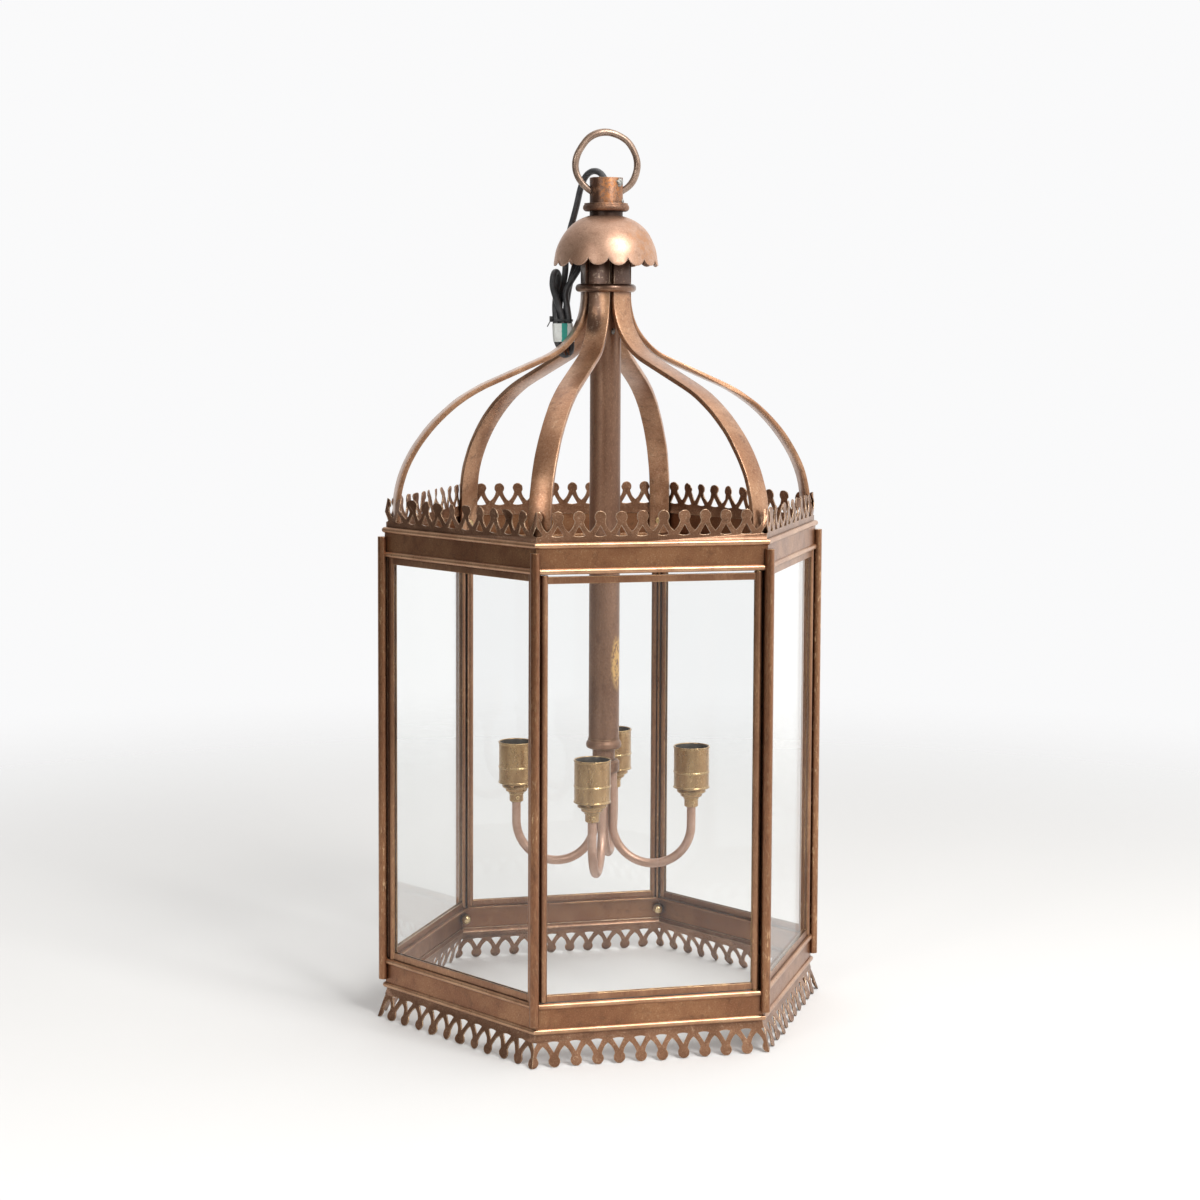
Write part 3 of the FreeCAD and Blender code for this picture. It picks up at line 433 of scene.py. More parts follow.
# ---------------------------------------------------------------- flex
@dataclass
class Flex:
    """The black supply flex: out of the neck, over behind the dome and down into a tied hank.

    The free run is in metres. The hank's points are in millimetres: across it, inward to the stem, and up.
    """

    diameter: float = 7.1 * MM
    length: float = 0.70
    free_run: tuple[Point, ...] = (
        (0.0, 0.0, 0.89611), (0.0, 0.0, 0.915), (-0.0056, 0.0104, 0.9263), (-0.0136, 0.0254, 0.9263),
        (-0.0196, 0.036, 0.914), (-0.0238, 0.0434, 0.886), (-0.0302, 0.0536, 0.857),
        (-0.0326, 0.0568, 0.834), (-0.034, 0.0506, 0.815),
    )
    across: Vector = field(default_factory=lambda: Vector((0.972, -0.235, 0.0)))
    inward: Vector = field(default_factory=lambda: Vector((0.235, 0.972, 0.0)))
    hank: tuple[Point, ...] = (
        # down behind, and under to the front right
        (-48.5, 35.5, 798), (-51.5, 30.0, 780), (-51.7, 25.0, 765), (-50.9, 21.8, 750), (-51.0, 25.0, 740.5),
        (-52.0, 26.6, 730.4), (-47.8, 22.9, 724.5), (-41.7, 17.1, 724.5), (-37.5, 13.0, 730.4),
        # up the front right, and over beside the barrel
        (-38.2, 13.6, 741), (-40.3, 15.0, 750), (-40.7, 18.2, 765), (-43.0, 20.5, 779), (-45.2, 24.0, 794),
        (-37.5, 26.0, 808), (-30.0, 26.0, 819), (-27.5, 26.0, 829.5), (-29.1, 31.6, 836), (-31.4, 39.4, 836),
        (-33.0, 45.0, 829.5), (-37.0, 43.5, 815),
        # down the back right, and under to the front left
        (-41.5, 33.5, 797), (-43.6, 29.3, 780), (-44.5, 25.0, 765), (-43.0, 22.8, 752), (-40.5, 26.3, 744.5),
        (-40.2, 27.0, 739), (-43.5, 23.5, 732.5), (-50.0, 18.0, 732.5), (-54.0, 14.3, 738.6),
        # up the left, crossing behind, and over at the top left
        (-54.5, 15.2, 752), (-55.3, 18.4, 765), (-56.3, 24.8, 781), (-53.8, 31.0, 797), (-52.0, 33.5, 810),
        (-53.9, 28.2, 816), (-56.6, 20.8, 816), (-58.5, 15.5, 810),
        # down the front, to the bare end
        (-59.0, 17.5, 799), (-53.5, 17.4, 783), (-47.8, 17.8, 766), (-47.4, 14.8, 751), (-45.8, 12.5, 742),
        (-45.0, 11.5, 736),
    )
    tie_z: float = 0.7625
    tag_z: Span = (0.7390, 0.7592)
    banded_below: float = 0.78
    tie_half: float = 1.2 * MM
    lock: Point = (3.4 * MM, 4.6 * MM, 6.4 * MM)
    tail: Point = (1.1 * MM, 3.4 * MM, 7.5 * MM)
    tail_at: Point = (-2.4 * MM, 0.0, -5.2 * MM)
    tail_lean: float = math.radians(28)
    core_r: float = 1.35 * MM
    tip_r: float = 0.75 * MM

    def route(self) -> list[Vector]:
        """The cord's control points in the row frame, in metres."""
        turns = [(self.across * x + self.inward * y + Vector((0, 0, z))) * MM for x, y, z in self.hank]
        return [*map(Vector, self.free_run), *turns]

    def run(self) -> bpy.types.Object:
        """The cord itself, one open spline with a round section."""
        data = bpy.data.curves.new("supply_flex", "CURVE")
        data.dimensions = "3D"
        data.resolution_u = 10
        spline = data.splines.new("NURBS")
        points = self.route()
        spline.points.add(len(points) - 1)
        for held, at in zip(spline.points, points):
            held.co = (*at, 1.0)
        spline.order_u = 3
        spline.use_endpoint_u = True
        data.bevel_depth = self.diameter / 2
        data.bevel_resolution = 5
        data.use_fill_caps = True
        piece = bpy.data.objects.new("supply_flex", data)
        bpy.context.scene.collection.objects.link(piece)
        return piece

    def centres(self, piece: bpy.types.Object) -> list[Vector]:
        """The smooth line that the cord follows."""
        bare = bpy.data.objects.new("bare_line", piece.data.copy())
        bare.data.bevel_depth = 0
        mesh = bpy.data.meshes.new_from_object(bare)
        line = [v.co.copy() for v in mesh.vertices]
        bpy.data.meshes.remove(mesh)
        bpy.data.curves.remove(bare.data)
        return line

    def wrap(
        self, name: str, line: list[Vector], low: float, high: float, clear: float, wall: float
    ) -> bpy.types.Object:
        """A snug band round all the runs between two heights.

        Args:
            name: The piece's name.
            line: The cord's centre line.
            low: Lower edge.
            high: Upper edge.
            clear: How far it stands off the sheath.
            wall: Its thickness.

        Returns:
            The band.
        """
        bm = bmesh.new()
        reach = self.diameter / 2 + clear
        levels = 2 if high - low < 8 * MM else 5
        for k in range(levels):
            z = low + (high - low) * k / (levels - 1)
            for a, b in zip(line, line[1:]):
                if (a.z - z) * (b.z - z) > 0 or a.z == b.z or max(a.z, b.z) > self.banded_below:
                    continue
                at = a.lerp(b, (z - a.z) / (b.z - a.z))
                ring = Matrix.Translation((at.x, at.y, z))
                bmesh.ops.create_circle(bm, segments=32, radius=reach, matrix=ring)
        made = bmesh.ops.convex_hull(bm, input=bm.verts, use_existing_faces=False)
        spare = [g for g in made["geom_interior"] + made["geom_unused"] if isinstance(g, bmesh.types.BMVert)]
        bmesh.ops.delete(bm, geom=list(set(spare)), context="VERTS")
        ends = [f for f in bm.faces if abs(f.normal.z) > 0.9]
        bmesh.ops.delete(bm, geom=ends, context="FACES_ONLY")
        bmesh.ops.dissolve_limit(bm, angle_limit=math.radians(2), verts=bm.verts, edges=bm.edges)
        bmesh.ops.recalc_face_normals(bm, faces=bm.faces)
        centre = sum((v.co for v in bm.verts), Vector()) / len(bm.verts)
        if sum((f.calc_center_median() - centre).xy.dot(f.normal.xy) for f in bm.faces) < 0:
            bmesh.ops.reverse_faces(bm, faces=bm.faces)
        bmesh.ops.solidify(bm, geom=bm.faces, thickness=-wall)
        return settle(bm, name)

    def tie_head(self, line: list[Vector]) -> bpy.types.Object:
        """The tie's lock and its cut tail, at the hank's left.

        Args:
            line: The cord's centre line.

        Returns:
            The lock.
        """
        runs = (p for p in line if abs(p.z - self.tie_z) < 2.5 * MM)
        left = min(runs, key=lambda p: p.dot(self.across))
        at = left + self.across * -(self.diameter / 2 + 1.6 * MM)
        bm = bmesh.new()
        head = bmesh.ops.create_cube(bm, size=1.0)["verts"]
        bmesh.ops.scale(bm, verts=head, vec=self.lock)
        tail = bmesh.ops.create_cube(bm, size=1.0)["verts"]
        bmesh.ops.scale(bm, verts=tail, vec=self.tail)
        lean = Matrix.Rotation(self.tail_lean, 3, "Y")
        bmesh.ops.rotate(bm, verts=tail, cent=(0, 0, 0), matrix=lean)
        bmesh.ops.translate(bm, verts=tail, vec=self.tail_at)
        bmesh.ops.bevel(
            bm, geom=bm.edges, offset=0.35 * MM, segments=2, profile=0.5, affect="EDGES", material=-1
        )
        turn = Matrix.Rotation(math.atan2(self.across.y, self.across.x), 4, "Z")
        bmesh.ops.transform(bm, matrix=Matrix.Translation(at) @ turn, verts=bm.verts)
        return settle(bm, "tie_lock")

    def cores(self, line: list[Vector]) -> list[bpy.types.Object]:
        """Three short insulated cores with bare tips, out of the cord's end.

        Args:
            line: The cord's centre line, which ends where the cores come out.

        Returns:
            The brown, blue and green cores.
        """
        end, back = line[-1], line[-1] - line[-4]
        along = back.normalized()
        made = []
        for k, (name, lean) in enumerate((("core_brown", 20), ("core_blue", 140), ("core_green", 260))):
            turn = Matrix.Rotation(math.radians(lean), 3, along)
            out = turn @ along.orthogonal().normalized()
            root = end - along * 2 * MM + out * 1.55 * MM
            tip = end + along * (10 + 1.5 * k) * MM + out * (2.6 + k * 0.5) * MM
            bm = bmesh.new()
            for radius, start, stop in ((self.core_r, 0.0, 0.72), (self.tip_r, 0.70, 1.0)):
                a, b = root.lerp(tip, start), root.lerp(tip, stop)
                way = (b - a).to_track_quat("Z", "Y").to_matrix().to_4x4()
                bmesh.ops.create_cone(
                    bm, cap_ends=True, segments=16, radius1=radius, radius2=radius, depth=(b - a).length,
                    matrix=Matrix.Translation((a + b) / 2) @ way,
                )
            made.append(settle(bm, name))
        return made


# ---------------------------------------------------------------- studio
@dataclass
class Studio:
    """Camera, pale floor and soft lights."""

    eye: Point = (-0.62301, -2.57502, 0.76672)
    heading: float = math.radians(13.648)
    tilt: float = math.radians(4.448)
    roll: float = math.radians(0.271)
    lens: float = 72.178
    shift: Span = (-0.00565, -0.08)
    floor_r: float = 2.6
    floor_tone: Colour = (0.72, 0.72, 0.72)
    floor_fade: Span = (0.75, 2.3)
    bright_side: Point = (0.85, 0.50, 0.10)
    room_tone: Span = (0.05, 1.2)
    room_colour: Colour = (1.0, 0.985, 0.965)
    seen_colour: Colour = (0.955, 0.955, 0.96)
    lamp_colour: Colour = (1.0, 0.985, 0.96)

    def camera(self) -> None:
        """The camera, level apart from a slight downward tilt."""
        data = bpy.data.cameras.new("view_camera")
        data.sensor_width = 36.0
        data.lens = self.lens
        data.shift_x, data.shift_y = self.shift
        data.clip_start, data.clip_end = 0.05, 60.0
        piece = bpy.data.objects.new("view_camera", data)
        turn = Matrix.Rotation(-self.heading, 4, "Z") @ Matrix.Rotation(math.pi / 2 - self.tilt, 4, "X")
        piece.matrix_world = Matrix.Translation(self.eye) @ turn @ Matrix.Rotation(self.roll, 4, "Z")
        bpy.context.scene.collection.objects.link(piece)
        bpy.context.scene.camera = piece

    def floor(self) -> None:
        """A pale disc that fades out into the backdrop."""
        bm = bmesh.new()
        bmesh.ops.create_circle(bm, cap_ends=True, segments=96, radius=self.floor_r)
        piece = settle(bm, "studio_floor", smooth=False)
        finish, g = new_material("pale_floor")
        at = g.node("TexCoord").outputs["Object"]
        far = g.node("VectorMath", {0: at}, operation="LENGTH").outputs["Value"]
        matt = g.node("BsdfDiffuse", {"Color": self.floor_tone})
        gone = g.node("BsdfTransparent")
        fade = g.ramp(far, *self.floor_fade)
        g.surface(g.node("MixShader", {0: fade, 1: matt.outputs[0], 2: gone.outputs[0]}))
        paint(piece, finish)

    def backdrop(self) -> None:
        """A near-white surround that lights from behind and stays dim at the front left."""
        world = bpy.data.worlds.new("studio_surround")
        bpy.context.scene.world = world
        world.use_nodes = True
        g = Graph(world.node_tree)
        at = g.node("TexCoord").outputs["Generated"]
        side = g.node("VectorMath", {0: at, 1: self.bright_side}, operation="DOT_PRODUCT").outputs["Value"]
        dim, full = self.room_tone
        tone = g.node("MapRange", {0: side, 1: -0.75, 2: 0.65, 3: dim, 4: full}).outputs[0]
        room = g.node("Background", {"Color": self.room_colour, "Strength": tone})
        seen = g.node("Background", {"Color": self.seen_colour, "Strength": 1.0})
        straight = g.node("LightPath").outputs["Is Camera Ray"]
        both = g.node("MixShader", {0: straight, 1: room.outputs[0], 2: seen.outputs[0]})
        g.surface(both, "OutputWorld")

    def lamp(self, name: str, at: Point, aim: Point, size: Span, watts: float, colour: Colour) -> None:
        """Adds one soft box.

        Args:
            name: The lamp's name.
            at: Where it hangs.
            aim: The point that it faces.
            size: Its width and height, in metres.
            watts: Its power.
            colour: Its colour.
        """
        data = bpy.data.lights.new(name, "AREA")
        data.shape = "RECTANGLE"
        data.size, data.size_y = size
        data.energy = watts
        data.color = colour
        piece = bpy.data.objects.new(name, data)
        piece.location = at
        piece.rotation_euler = (Vector(aim) - Vector(at)).to_track_quat("-Z", "Y").to_euler()
        bpy.context.scene.collection.objects.link(piece)

    def light(self) -> None:
        """Key from the front right, a low fill from the left, and one overhead."""
        warm = self.lamp_colour
        self.lamp("key_box", (0.95, -2.15, 2.55), (0, 0, 0.55), (1.2, 1.7), 92.0, warm)
        self.lamp("fill_box", (-1.9, -1.9, 1.5), (0, 0, 0.5), (0.8, 1.5), 19.0, warm)
        self.lamp("top_box", (0.3, 0.4, 2.9), (0, 0, 0.3), (2.2, 2.2), 9.0, (1.0, 1.0, 1.0))
        bpy.context.scene.view_settings.view_transform = "Standard"


# ---------------------------------------------------------------- worked metal
class Way(Enum):
    """How a thin sheet was knocked about in use."""

    DENTED = "dented"
    BENT = "bent"


@dataclass
class Worked:
    """A node's own shape again, with eased arrises and the small faults of hand work.

    Ease is the width of its rounded arrises. Fault is how far it strays over each spread, and rag is how
    far over a few millimetres.
    """

    node: str
    name: str
    slot: str
    body: str = "lantern"
    ease: float = 0.0
    fault: float = 0.0
    spread: float = 20 * MM
    rag: float = 0.0
    way: Way = Way.DENTED

    ARRIS: ClassVar[float] = math.radians(50)
    RAG_SPREAD: ClassVar[float] = 3.2 * MM
    HELD_SHARE: ClassVar[float] = 0.25

    def make(self, source: bpy.types.Object) -> bpy.types.Object:
        """Copies and works the node's mesh.

        Args:
            source: The node's object, which is left as it is.

        Returns:
            The worked piece.
        """
        bm = bmesh.new()
        bm.from_mesh(source.data)
        bmesh.ops.remove_doubles(bm, verts=bm.verts, dist=0.01 * MM)
        bmesh.ops.dissolve_limit(bm, angle_limit=math.radians(0.6), verts=bm.verts, edges=bm.edges)
        if self.ease:
            arrises = [e for e in bm.edges if e.is_manifold and e.calc_face_angle(0.0) > self.ARRIS]
            bmesh.ops.bevel(
                bm, geom=arrises, offset=self.ease, segments=2, profile=0.5, affect="EDGES", material=-1,
                clamp_overlap=True,
            )
        low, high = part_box(self.node)
        for vert in bm.verts:
            vert.co += self.shift(vert.co, low, high)
        return settle(bm, self.name)

    def shift(self, at: Vector, low: Vector, high: Vector) -> Vector:
        """How far a point of the sheet has moved from true.

        Args:
            at: The point.
            low: The lowest corner of the node's box.
            high: Its highest corner.

        Returns:
            The move. Bent balls lean out of their face, and more the further they are from the band.
        """
        ragged = noise.noise_vector(at / self.RAG_SPREAD) * self.rag
        if self.way is Way.DENTED:
            return noise.noise_vector(at / self.spread) * self.fault + ragged
        face = round((math.degrees(math.atan2(at.y, at.x)) - 30) / 60) * 60 + 30
        outward = Vector((math.cos(math.radians(face)), math.sin(math.radians(face)), 0.0))
        reach = (at.z - low.z) / (high.z - low.z)
        from_band = reach if self.node == "upper_gallery" else 1 - reach
        free = max(0.0, from_band - self.HELD_SHARE) / (1 - self.HELD_SHARE)
        side = outward.cross(Vector((0, 0, 1)))
        lean = noise.noise(at / self.spread)
        bend = outward * (max(lean, -0.2) * free) + side * (0.25 * lean * free)
        return bend * self.fault + ragged * free


@dataclass
class Spun:
    """A turned piece: a closed outline of (radius, height) in millimetres, spun about an upright axis."""

    outline: tuple[tuple[float, float], ...]
    steps: int = 72

    def into(self, bm: bmesh.types.BMesh, x: float, y: float) -> None:
        """Spins the outline into a mesh.

        Args:
            bm: The mesh to add to.
            x: Where the axis stands, in metres.
            y: The same.
        """
        verts = [bm.verts.new((x + r * MM, y, z * MM)) for r, z in self.outline]
        edges = [bm.edges.new(pair) for pair in zip(verts, verts[1:] + verts[:1])]
        bmesh.ops.spin(
            bm, geom=verts + edges, cent=(x, y, 0), axis=(0, 0, 1), angle=2 * math.pi, steps=self.steps,
            use_merge=True, use_duplicate=False,
        )


@dataclass
class Lampholder:
    """A brass lampholder: a shell with a rolled rim and a raised line, on a stepped collar.

    Its sizes are in millimetres. Foot, base, line and rim are heights.
    """

    foot: float = 225.5
    base: float = 246.5
    rim: float = 293.5
    line: float = 264.9
    tube_r: float = 4.9
    neck_r: float = 7.8
    lower_r: float = 12.2
    upper_r: float = 16.0
    wall_r: float = 19.5
    inner_r: float = 18.6
    screw_r: float = 1.7

    def shell(self, name: str, x: float, y: float) -> bpy.types.Object:
        """The open shell, as one turned wall."""
        r, roll = self.wall_r, self.wall_r + 0.75
        bm = bmesh.new()
        Spun((
            (self.tube_r, self.base), (r - 0.6, self.base), (roll - 0.15, self.base + 0.5),
            (roll, self.base + 1.2), (roll - 0.15, self.base + 1.9), (r, self.base + 2.4),
            (r, self.line - 1.0), (roll, self.line - 0.45), (roll, self.line + 0.45), (r, self.line + 1.0),
            (r, self.rim - 2.4), (roll - 0.2, self.rim - 1.9), (roll, self.rim - 1.1),
            (roll - 0.2, self.rim - 0.3), (r, self.rim), (self.inner_r + 0.3, self.rim - 0.2),
            (self.inner_r, self.rim - 1.0), (self.inner_r, self.base + 1.2), (self.tube_r, self.base + 1.2),
        )).into(bm, x, y)
        return settle(bm, name)

    def liner(self, name: str, x: float, y: float) -> bpy.types.Object:
        """The dark insulating sleeve inside the shell. It also stands for the shade inside the shell: part
        liner, part painted shade.
        """
        outer, inner = self.inner_r - 0.05, self.inner_r - 0.75
        foot, top = self.rim - 7.9, self.rim - 0.9
        bm = bmesh.new()
        outline = (outer, foot), (outer, top), (inner + 0.2, top), (inner, top - 0.3), (inner, foot)
        Spun(outline).into(bm, x, y)
        return settle(bm, name)

    def collar(self, name: str, x: float, y: float) -> bpy.types.Object:
        """The stepped collar and its neck, with a grub screw at the front."""
        low, high, foot, top = self.lower_r, self.upper_r, self.foot, self.base
        step = top - 10.4
        bm = bmesh.new()
        Spun((
            (self.tube_r, foot), (self.neck_r - 0.9, foot), (self.neck_r, foot + 0.9),
            (self.neck_r, step - 2.2), (self.neck_r + 0.9, step - 1.6), (self.neck_r + 0.9, step),
            (low - 2.8, step + 0.2), (low - 0.7, step + 1.2), (low, step + 2.4), (low, step + 4.6),
            (low - 0.6, step + 5.1), (high - 0.8, step + 5.5), (high, step + 6.3), (high, top - 1.2),
            (high - 0.7, top), (self.tube_r, top),
        )).into(bm, x, y)
        front = Matrix.Translation((x, y - self.neck_r * MM, (foot + 5.0) * MM))
        bmesh.ops.create_cone(
            bm, cap_ends=True, segments=20, radius1=self.screw_r * MM, radius2=self.screw_r * 0.8 * MM,
            depth=1.6 * MM, matrix=front @ Matrix.Rotation(math.pi / 2, 4, "X"),
        )
        return settle(bm, name)


@dataclass
class StemCap:
    """The rolled bead and spigot that close the stem's foot, in millimetres."""

    top: float = 311.2
    seat: float = 300.0
    foot: float = 288.8
    spigot: float = 275.8
    bore_r: float = 5.6
    spigot_r: float = 12.5
    plug_r: float = 15.5
    bead_r: float = 19.8

    def make(self) -> bpy.types.Object:
        """The cap, turned from one outline."""
        bead, foot = self.bead_r, self.foot
        bm = bmesh.new()
        Spun((
            (self.bore_r, self.spigot), (self.spigot_r, self.spigot), (self.spigot_r, foot - 1.2),
            (self.spigot_r + 1.5, foot), (bead - 2.2, foot), (bead - 0.7, foot + 1.0), (bead, foot + 3.4),
            (bead - 0.4, foot + 6.2), (bead - 1.5, foot + 8.0), (bead - 2.3, foot + 8.8),
            (bead - 2.3, self.seat), (self.plug_r, self.seat), (self.plug_r, self.top),
            (self.bore_r, self.top),
        )).into(bm, 0.0, 0.0)
        return settle(bm, "stem_foot_cap")


@dataclass
class Solder:
    """A frozen drip of solder on the metal."""

    name: str
    at: Point
    size: Point
    lumps: float = 0.35
    grain: float = 0.12

    def make(self) -> bpy.types.Object:
        """A lumpy blob, partly sunk in the metal."""
        bm = bmesh.new()
        bmesh.ops.create_icosphere(bm, subdivisions=4, radius=1.0)
        for vert in bm.verts:
            swell = self.lumps * noise.noise(vert.co * 1.9) + self.grain * noise.noise(vert.co * 6.0)
            vert.co += vert.normal * swell
        bmesh.ops.scale(bm, vec=self.size, verts=bm.verts)
        bmesh.ops.translate(bm, vec=self.at, verts=bm.verts)
        return settle(bm, self.name)


# ---------------------------------------------------------------- the lantern
@dataclass
class Lantern:
    """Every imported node, dressed by its slot, and the pieces that stand for some of them."""

    frame: dict
    finishes: dict[str, bpy.types.Material] = field(default_factory=dict)

    def mix_finishes(self) -> None:
        """Builds one material for each slot in the record, and a few for single pieces."""
        brown = dict(
            deep=(0.055, 0.022, 0.011), mid=(0.24, 0.098, 0.043), warm=(0.34, 0.158, 0.072),
            worn=(0.80, 0.53, 0.30),
        )
        # painted shadow: the dome's shadow, painted dark on the crown straps under it
        painted_dome_shadow = Patch(
            centre=(0.0, 0.0, 0.812), reach=(0.075, 0.075, 0.026), colour=(0.070, 0.036, 0.026),
            strength=0.94, grain=60.0, edge=(0.2, 0.4),
        )
        # painted shade: the left half of the front-left strap, painted dark where the light falls away
        painted_strap_shade = Patch(
            centre=(-0.0195, -0.0215, 0.772), reach=(0.0110, 0.018, 0.048), colour=(0.10, 0.048, 0.029),
            strength=0.88, grain=60.0, edge=(0.25, 0.45),
        )
        rust = Patch(
            centre=(0.002, -0.018, 0.904), reach=(0.024, 0.024, 0.020), colour=(0.42, 0.17, 0.060),
            strength=0.8, grain=260.0, edge=(0.48, 0.58),
        )
        # painted shadow: the neck just under the bead collar, painted dark as if the collar shaded it
        foot = Patch(
            centre=(0.0, 0.0, 0.8790), reach=(0.040, 0.040, 0.0065), colour=(0.045, 0.026, 0.020),
            strength=0.95, grain=60.0, edge=(0.2, 0.4),
        )
        # painted shade: the left side of the neck and its bead collar, painted dark
        painted_neck_shade = Patch(
            centre=(-0.018, -0.006, 0.900), reach=(0.012, 0.020, 0.030), colour=(0.07, 0.035, 0.025),
            strength=0.8, grain=90.0, edge=(0.35, 0.5),
        )
        warm_side = Patch(
            centre=(0.040, -0.030, 0.846), reach=(0.036, 0.050, 0.040), colour=(0.50, 0.225, 0.085),
            strength=0.6, grain=110.0, edge=(0.42, 0.6),
        )
        gold = Patch(
            centre=(0.0125, -0.0130, 0.386), reach=(0.011, 0.013, 0.036), colour=(0.78, 0.50, 0.20),
            strength=0.9, grain=300.0, edge=(0.42, 0.52),
        )
        made = {
            "patinated_brass": AgedMetal(
                "patinated_band_brass", **brown, patches=16, speckle=90, stain=0.5, rough=(0.30, 0.48),
                flecks=0.2,
            ),
            "bead_brass": AgedMetal(
                "rubbed_bead_brass", deep=(0.14, 0.07, 0.04), mid=(0.42, 0.215, 0.115),
                warm=(0.56, 0.33, 0.19), worn=(0.92, 0.72, 0.50), wear=0.9, rough=(0.26, 0.42),
            ),
            "frame_brass": AgedMetal(
                "frame_bar_brass", deep=(0.06, 0.028, 0.017), mid=(0.27, 0.126, 0.066),
                warm=(0.38, 0.195, 0.105), worn=(0.84, 0.55, 0.28), stretch=(1.0, 1.0, 0.35),
                rough=(0.28, 0.46), flecks=0.25,
            ),
            "gallery_copper": AgedMetal(
                "pierced_gallery_copper", deep=(0.060, 0.026, 0.014), mid=(0.21, 0.098, 0.050),
                warm=(0.32, 0.160, 0.088), worn=(0.90, 0.66, 0.44), patches=30, speckle=150, wear=1.0,
                stain=0.5, wear_radius=1.0 * MM, rough=(0.30, 0.5), flecks=0.35,
            ),
            "crown_copper": AgedMetal(
                "crown_strap_copper", deep=(0.10, 0.040, 0.018), mid=(0.36, 0.172, 0.088),
                warm=(0.50, 0.270, 0.150), worn=(0.95, 0.72, 0.52), patches=20, speckle=120, grain=520,
                stain=0.6, lacquer=0.5, rough=(0.28, 0.46), wear_radius=1.3 * MM, flecks=0.25,
                # marks: a painted shadow under the dome and painted shade on the front-left strap's left
                # half
                marks=(painted_dome_shadow, painted_strap_shade),
            ),
            "stem_copper": AgedMetal(
                "stem_tube_copper", deep=(0.075, 0.037, 0.024), mid=(0.235, 0.125, 0.078),
                warm=(0.31, 0.175, 0.112), worn=(0.74, 0.48, 0.27), stretch=(1.0, 1.0, 0.5),
                rough=(0.42, 0.62), marks=(gold,),
            ),
            "arm_copper": AgedMetal(
                "dusty_arm_copper", deep=(0.26, 0.15, 0.10), mid=(0.50, 0.31, 0.225),
                warm=(0.60, 0.40, 0.31), worn=(0.86, 0.64, 0.50), stain=0.25, rough=(0.42, 0.58),
            ),
            "holder_brass": AgedMetal(
                "lampholder_brass", deep=(0.19, 0.105, 0.042), mid=(0.37, 0.215, 0.095),
                warm=(0.50, 0.320, 0.155), worn=(0.98, 0.78, 0.42), patches=40, stain=0.3,
                rough=(0.24, 0.38), wear=0.95, relief=0.08, wear_radius=0.9 * MM,
                stretch=(1.0, 1.0, 0.4), lacquer=0.5,
            ),
            "bright_brass": AgedMetal(
                "bright_fitting_brass", deep=(0.28, 0.17, 0.07), mid=(0.66, 0.47, 0.22),
                warm=(0.78, 0.60, 0.32), worn=(0.97, 0.83, 0.55), stain=0.3, rough=(0.22, 0.36),
            ),
            "holder_insert": Polymer(
                "lampholder_moulding", colour=(0.035, 0.028, 0.022), faded=(0.07, 0.06, 0.05), rough=0.45,
            ),
            "clear_glass": ClearGlass(),
            "black_flex": Polymer(
                "flex_sheath_black", colour=(0.050, 0.051, 0.055), faded=(0.098, 0.100, 0.106), rough=0.42,
                patches=90,
            ),
            "black_nylon": Polymer(
                "tie_nylon_black", colour=(0.022, 0.022, 0.024), faded=(0.04, 0.04, 0.042), rough=0.4,
            ),
            "tag_vinyl": BandedTag(),
            "core_insulation": Polymer(
                "core_brown_pvc", colour=(0.13, 0.05, 0.02), faded=(0.16, 0.065, 0.03), rough=0.4,
            ),
            "dome": AgedMetal(
                "scalloped_dome_copper", deep=(0.19, 0.092, 0.055), mid=(0.44, 0.255, 0.170),
                warm=(0.56, 0.350, 0.245), worn=(0.95, 0.76, 0.62), patches=22, speckle=150, stain=0.5,
                lacquer=0.3, rough=(0.42, 0.56), flecks=0.12, marks=(warm_side,),
            ),
            # the neck's marks: real rust, painted shade on its left side, and a painted shadow under its
            # bead collar
            "neck": AgedMetal(
                "rusted_neck_copper", deep=(0.05, 0.026, 0.018), mid=(0.21, 0.114, 0.074),
                warm=(0.36, 0.185, 0.105), worn=(0.86, 0.60, 0.40), patches=60, stain=0.75, lacquer=0.1,
                rough=(0.46, 0.62), marks=(rust, painted_neck_shade, foot),
            ),
            "ring": AgedMetal(
                "hanging_ring_copper", deep=(0.10, 0.052, 0.036), mid=(0.27, 0.180, 0.130),
                warm=(0.38, 0.270, 0.205), worn=(0.92, 0.76, 0.62), patches=60, speckle=260, stain=0.6,
                lacquer=0.35, rough=(0.34, 0.5),
            ),
            "post": AgedMetal(
                "corner_post_brass", **brown, patches=14, stretch=(1.0, 1.0, 0.22), stain=0.5,
                rough=(0.26, 0.42), flecks=0.7, lacquer=0.45,
            ),
            "solder": AgedMetal(
                "grey_solder", deep=(0.12, 0.11, 0.10), mid=(0.27, 0.27, 0.25), warm=(0.40, 0.40, 0.38),
                worn=(0.70, 0.70, 0.68), patches=260, stain=0.5, metallic=0.6, rough=(0.4, 0.6),
            ),
        }
        self.finishes = {slot: finish.build() for slot, finish in made.items()}

    def dress(self) -> None:
        """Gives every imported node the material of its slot, and the corner posts their own."""
        for row in self.frame["record"]["subparts"]:
            finish = "post" if row["node"].startswith("corner_post") else row["material_slot"]
            paint(self.frame["nodes"][row["node"]], self.finishes[finish])
            LOG.info("dressed %s in %s", row["node"], finish)

    def fit(
        self, piece: bpy.types.Object, slot: str, nodes: tuple[str, ...] = (), finish: str = "",
        body: str = "lantern",
    ) -> None:
        """Finishes a new piece, hangs it on its body and hides what it stands for.

        Args:
            piece: The new piece.
            slot: The record's material slot that it takes after.
            nodes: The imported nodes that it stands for.
            finish: The finish to wear, if not the slot's own.
            body: The body that carries it.
        """
        paint(piece, self.finishes[finish or slot])
        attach(piece, body)
        if nodes:
            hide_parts(*nodes)
        LOG.info("made %s", piece.name)

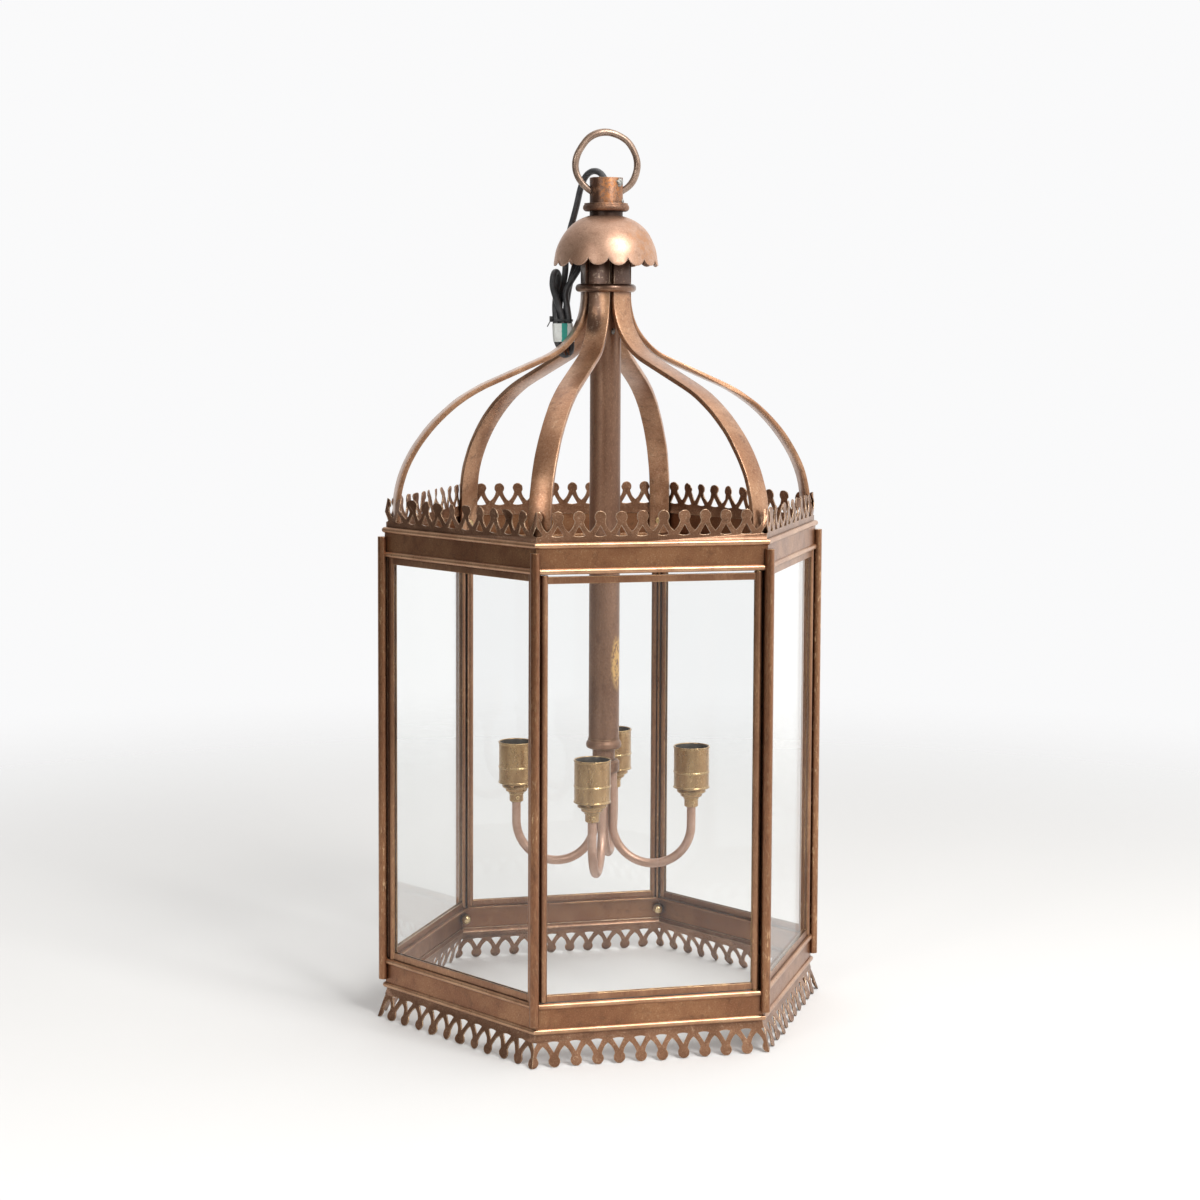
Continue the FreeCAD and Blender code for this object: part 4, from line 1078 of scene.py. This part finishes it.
    def fit_worked(self) -> None:
        """Straps, dome, neck, ring and galleries, with eased arrises and hand-made faults."""
        crown, pierced = "crown_copper", "gallery_copper"
        straps = [
            Worked(f"crown_strap_{k}", f"strap_{k}", crown, ease=0.7 * MM, fault=0.35 * MM, rag=0.06 * MM)
            for k in range(1, 7)
        ]
        dome = Worked("scalloped_dome", "dome_shell", crown, ease=0.35 * MM, fault=0.9 * MM, spread=26 * MM)
        neck = Worked(
            "neck_tube", "neck_pipe", crown, ease=0.4 * MM, fault=0.35 * MM, spread=9 * MM, rag=0.25 * MM,
        )
        bead = Worked(
            "bead_collar", "neck_bead", crown, ease=0.4 * MM, fault=0.3 * MM, spread=10 * MM, rag=0.2 * MM,
        )
        ring = Worked(
            "hanging_ring", "ring_rod", crown, "ring", fault=1.5 * MM, spread=24 * MM, rag=0.12 * MM,
        )
        upper = Worked(
            "upper_gallery", "gallery_top", pierced, fault=7.0 * MM, spread=17 * MM, rag=0.5 * MM,
            way=Way.BENT,
        )
        lower = Worked(
            "lower_gallery", "gallery_foot", pierced, fault=4.0 * MM, spread=17 * MM, rag=0.25 * MM,
            way=Way.BENT,
        )
        own = {"dome_shell": "dome", "neck_pipe": "neck", "neck_bead": "neck", "ring_rod": "ring"}
        for worked in (*straps, dome, neck, bead, ring, upper, lower):
            piece = worked.make(self.frame["nodes"][worked.node])
            self.fit(piece, worked.slot, (worked.node,), own.get(worked.name, ""), worked.body)

    def fit_turned(self) -> None:
        """The four lampholders, the stem's cap and the drips of solder."""
        holder = Lampholder()
        for k in range(1, 5):
            low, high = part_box(f"lampholder_shell_{k}")
            x, y = (low.x + high.x) / 2, (low.y + high.y) / 2
            self.fit(holder.shell(f"holder_shell_{k}", x, y), "holder_brass", (f"lampholder_shell_{k}",))
            # the dark liner is partly a real sleeve and partly painted shade inside the shell
            self.fit(holder.liner(f"holder_liner_{k}", x, y), "holder_insert")
            caps = ("lampholder_caps",) if k == 1 else ()
            self.fit(holder.collar(f"holder_collar_{k}", x, y), "holder_brass", caps)
        self.fit(StemCap().make(), "stem_copper", ("stem_end_cap",))
        for drip in (
            Solder("neck_solder", (0.0108, -0.0138, 0.9128), (0.0046, 0.0034, 0.0044)),
            Solder("neck_drip", (0.0160, -0.0075, 0.8925), (0.0022, 0.0024, 0.0030)),
            Solder("strap_drip", (0.0045, -0.0168, 0.7510), (0.0020, 0.0016, 0.0030)),
        ):
            self.fit(drip.make(), "crown_copper", finish="solder")

    def fit_flex(self, flex: Flex) -> None:
        """The cord with its tie, tag and bare cores, in place of their CAD solids."""
        cord = flex.run()
        line = flex.centres(cord)
        low, high = flex.tie_z - flex.tie_half, flex.tie_z + flex.tie_half
        tie = flex.wrap("hank_tie", line, low, high, 0.15 * MM, 1.0 * MM)
        lock = flex.tie_head(line)
        tag = flex.wrap("hank_tag", line, *flex.tag_z, 0.25 * MM, 0.35 * MM)
        cores = flex.cores(line)
        self.fit(cord, "black_flex", ("flex_cord", "flex_hank"))
        self.fit(tie, "black_nylon", ("flex_tie",))
        self.fit(lock, "black_nylon")
        self.fit(tag, "tag_vinyl", ("flex_tag",))
        for k, core in enumerate(cores):
            self.fit(core, "core_insulation", () if k else ("flex_cores",))


def main() -> None:
    """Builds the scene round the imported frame."""
    logging.basicConfig(level=logging.INFO, format="%(name)s: %(message)s")
    noise.seed_set(DENT_SEED)
    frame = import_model()
    studio = Studio()
    studio.camera()
    lantern = Lantern(frame)
    lantern.mix_finishes()
    lantern.dress()
    lantern.fit_worked()
    lantern.fit_turned()
    lantern.fit_flex(Flex())
    studio.floor()
    studio.backdrop()
    studio.light()


if __name__ == "__main__":
    main()
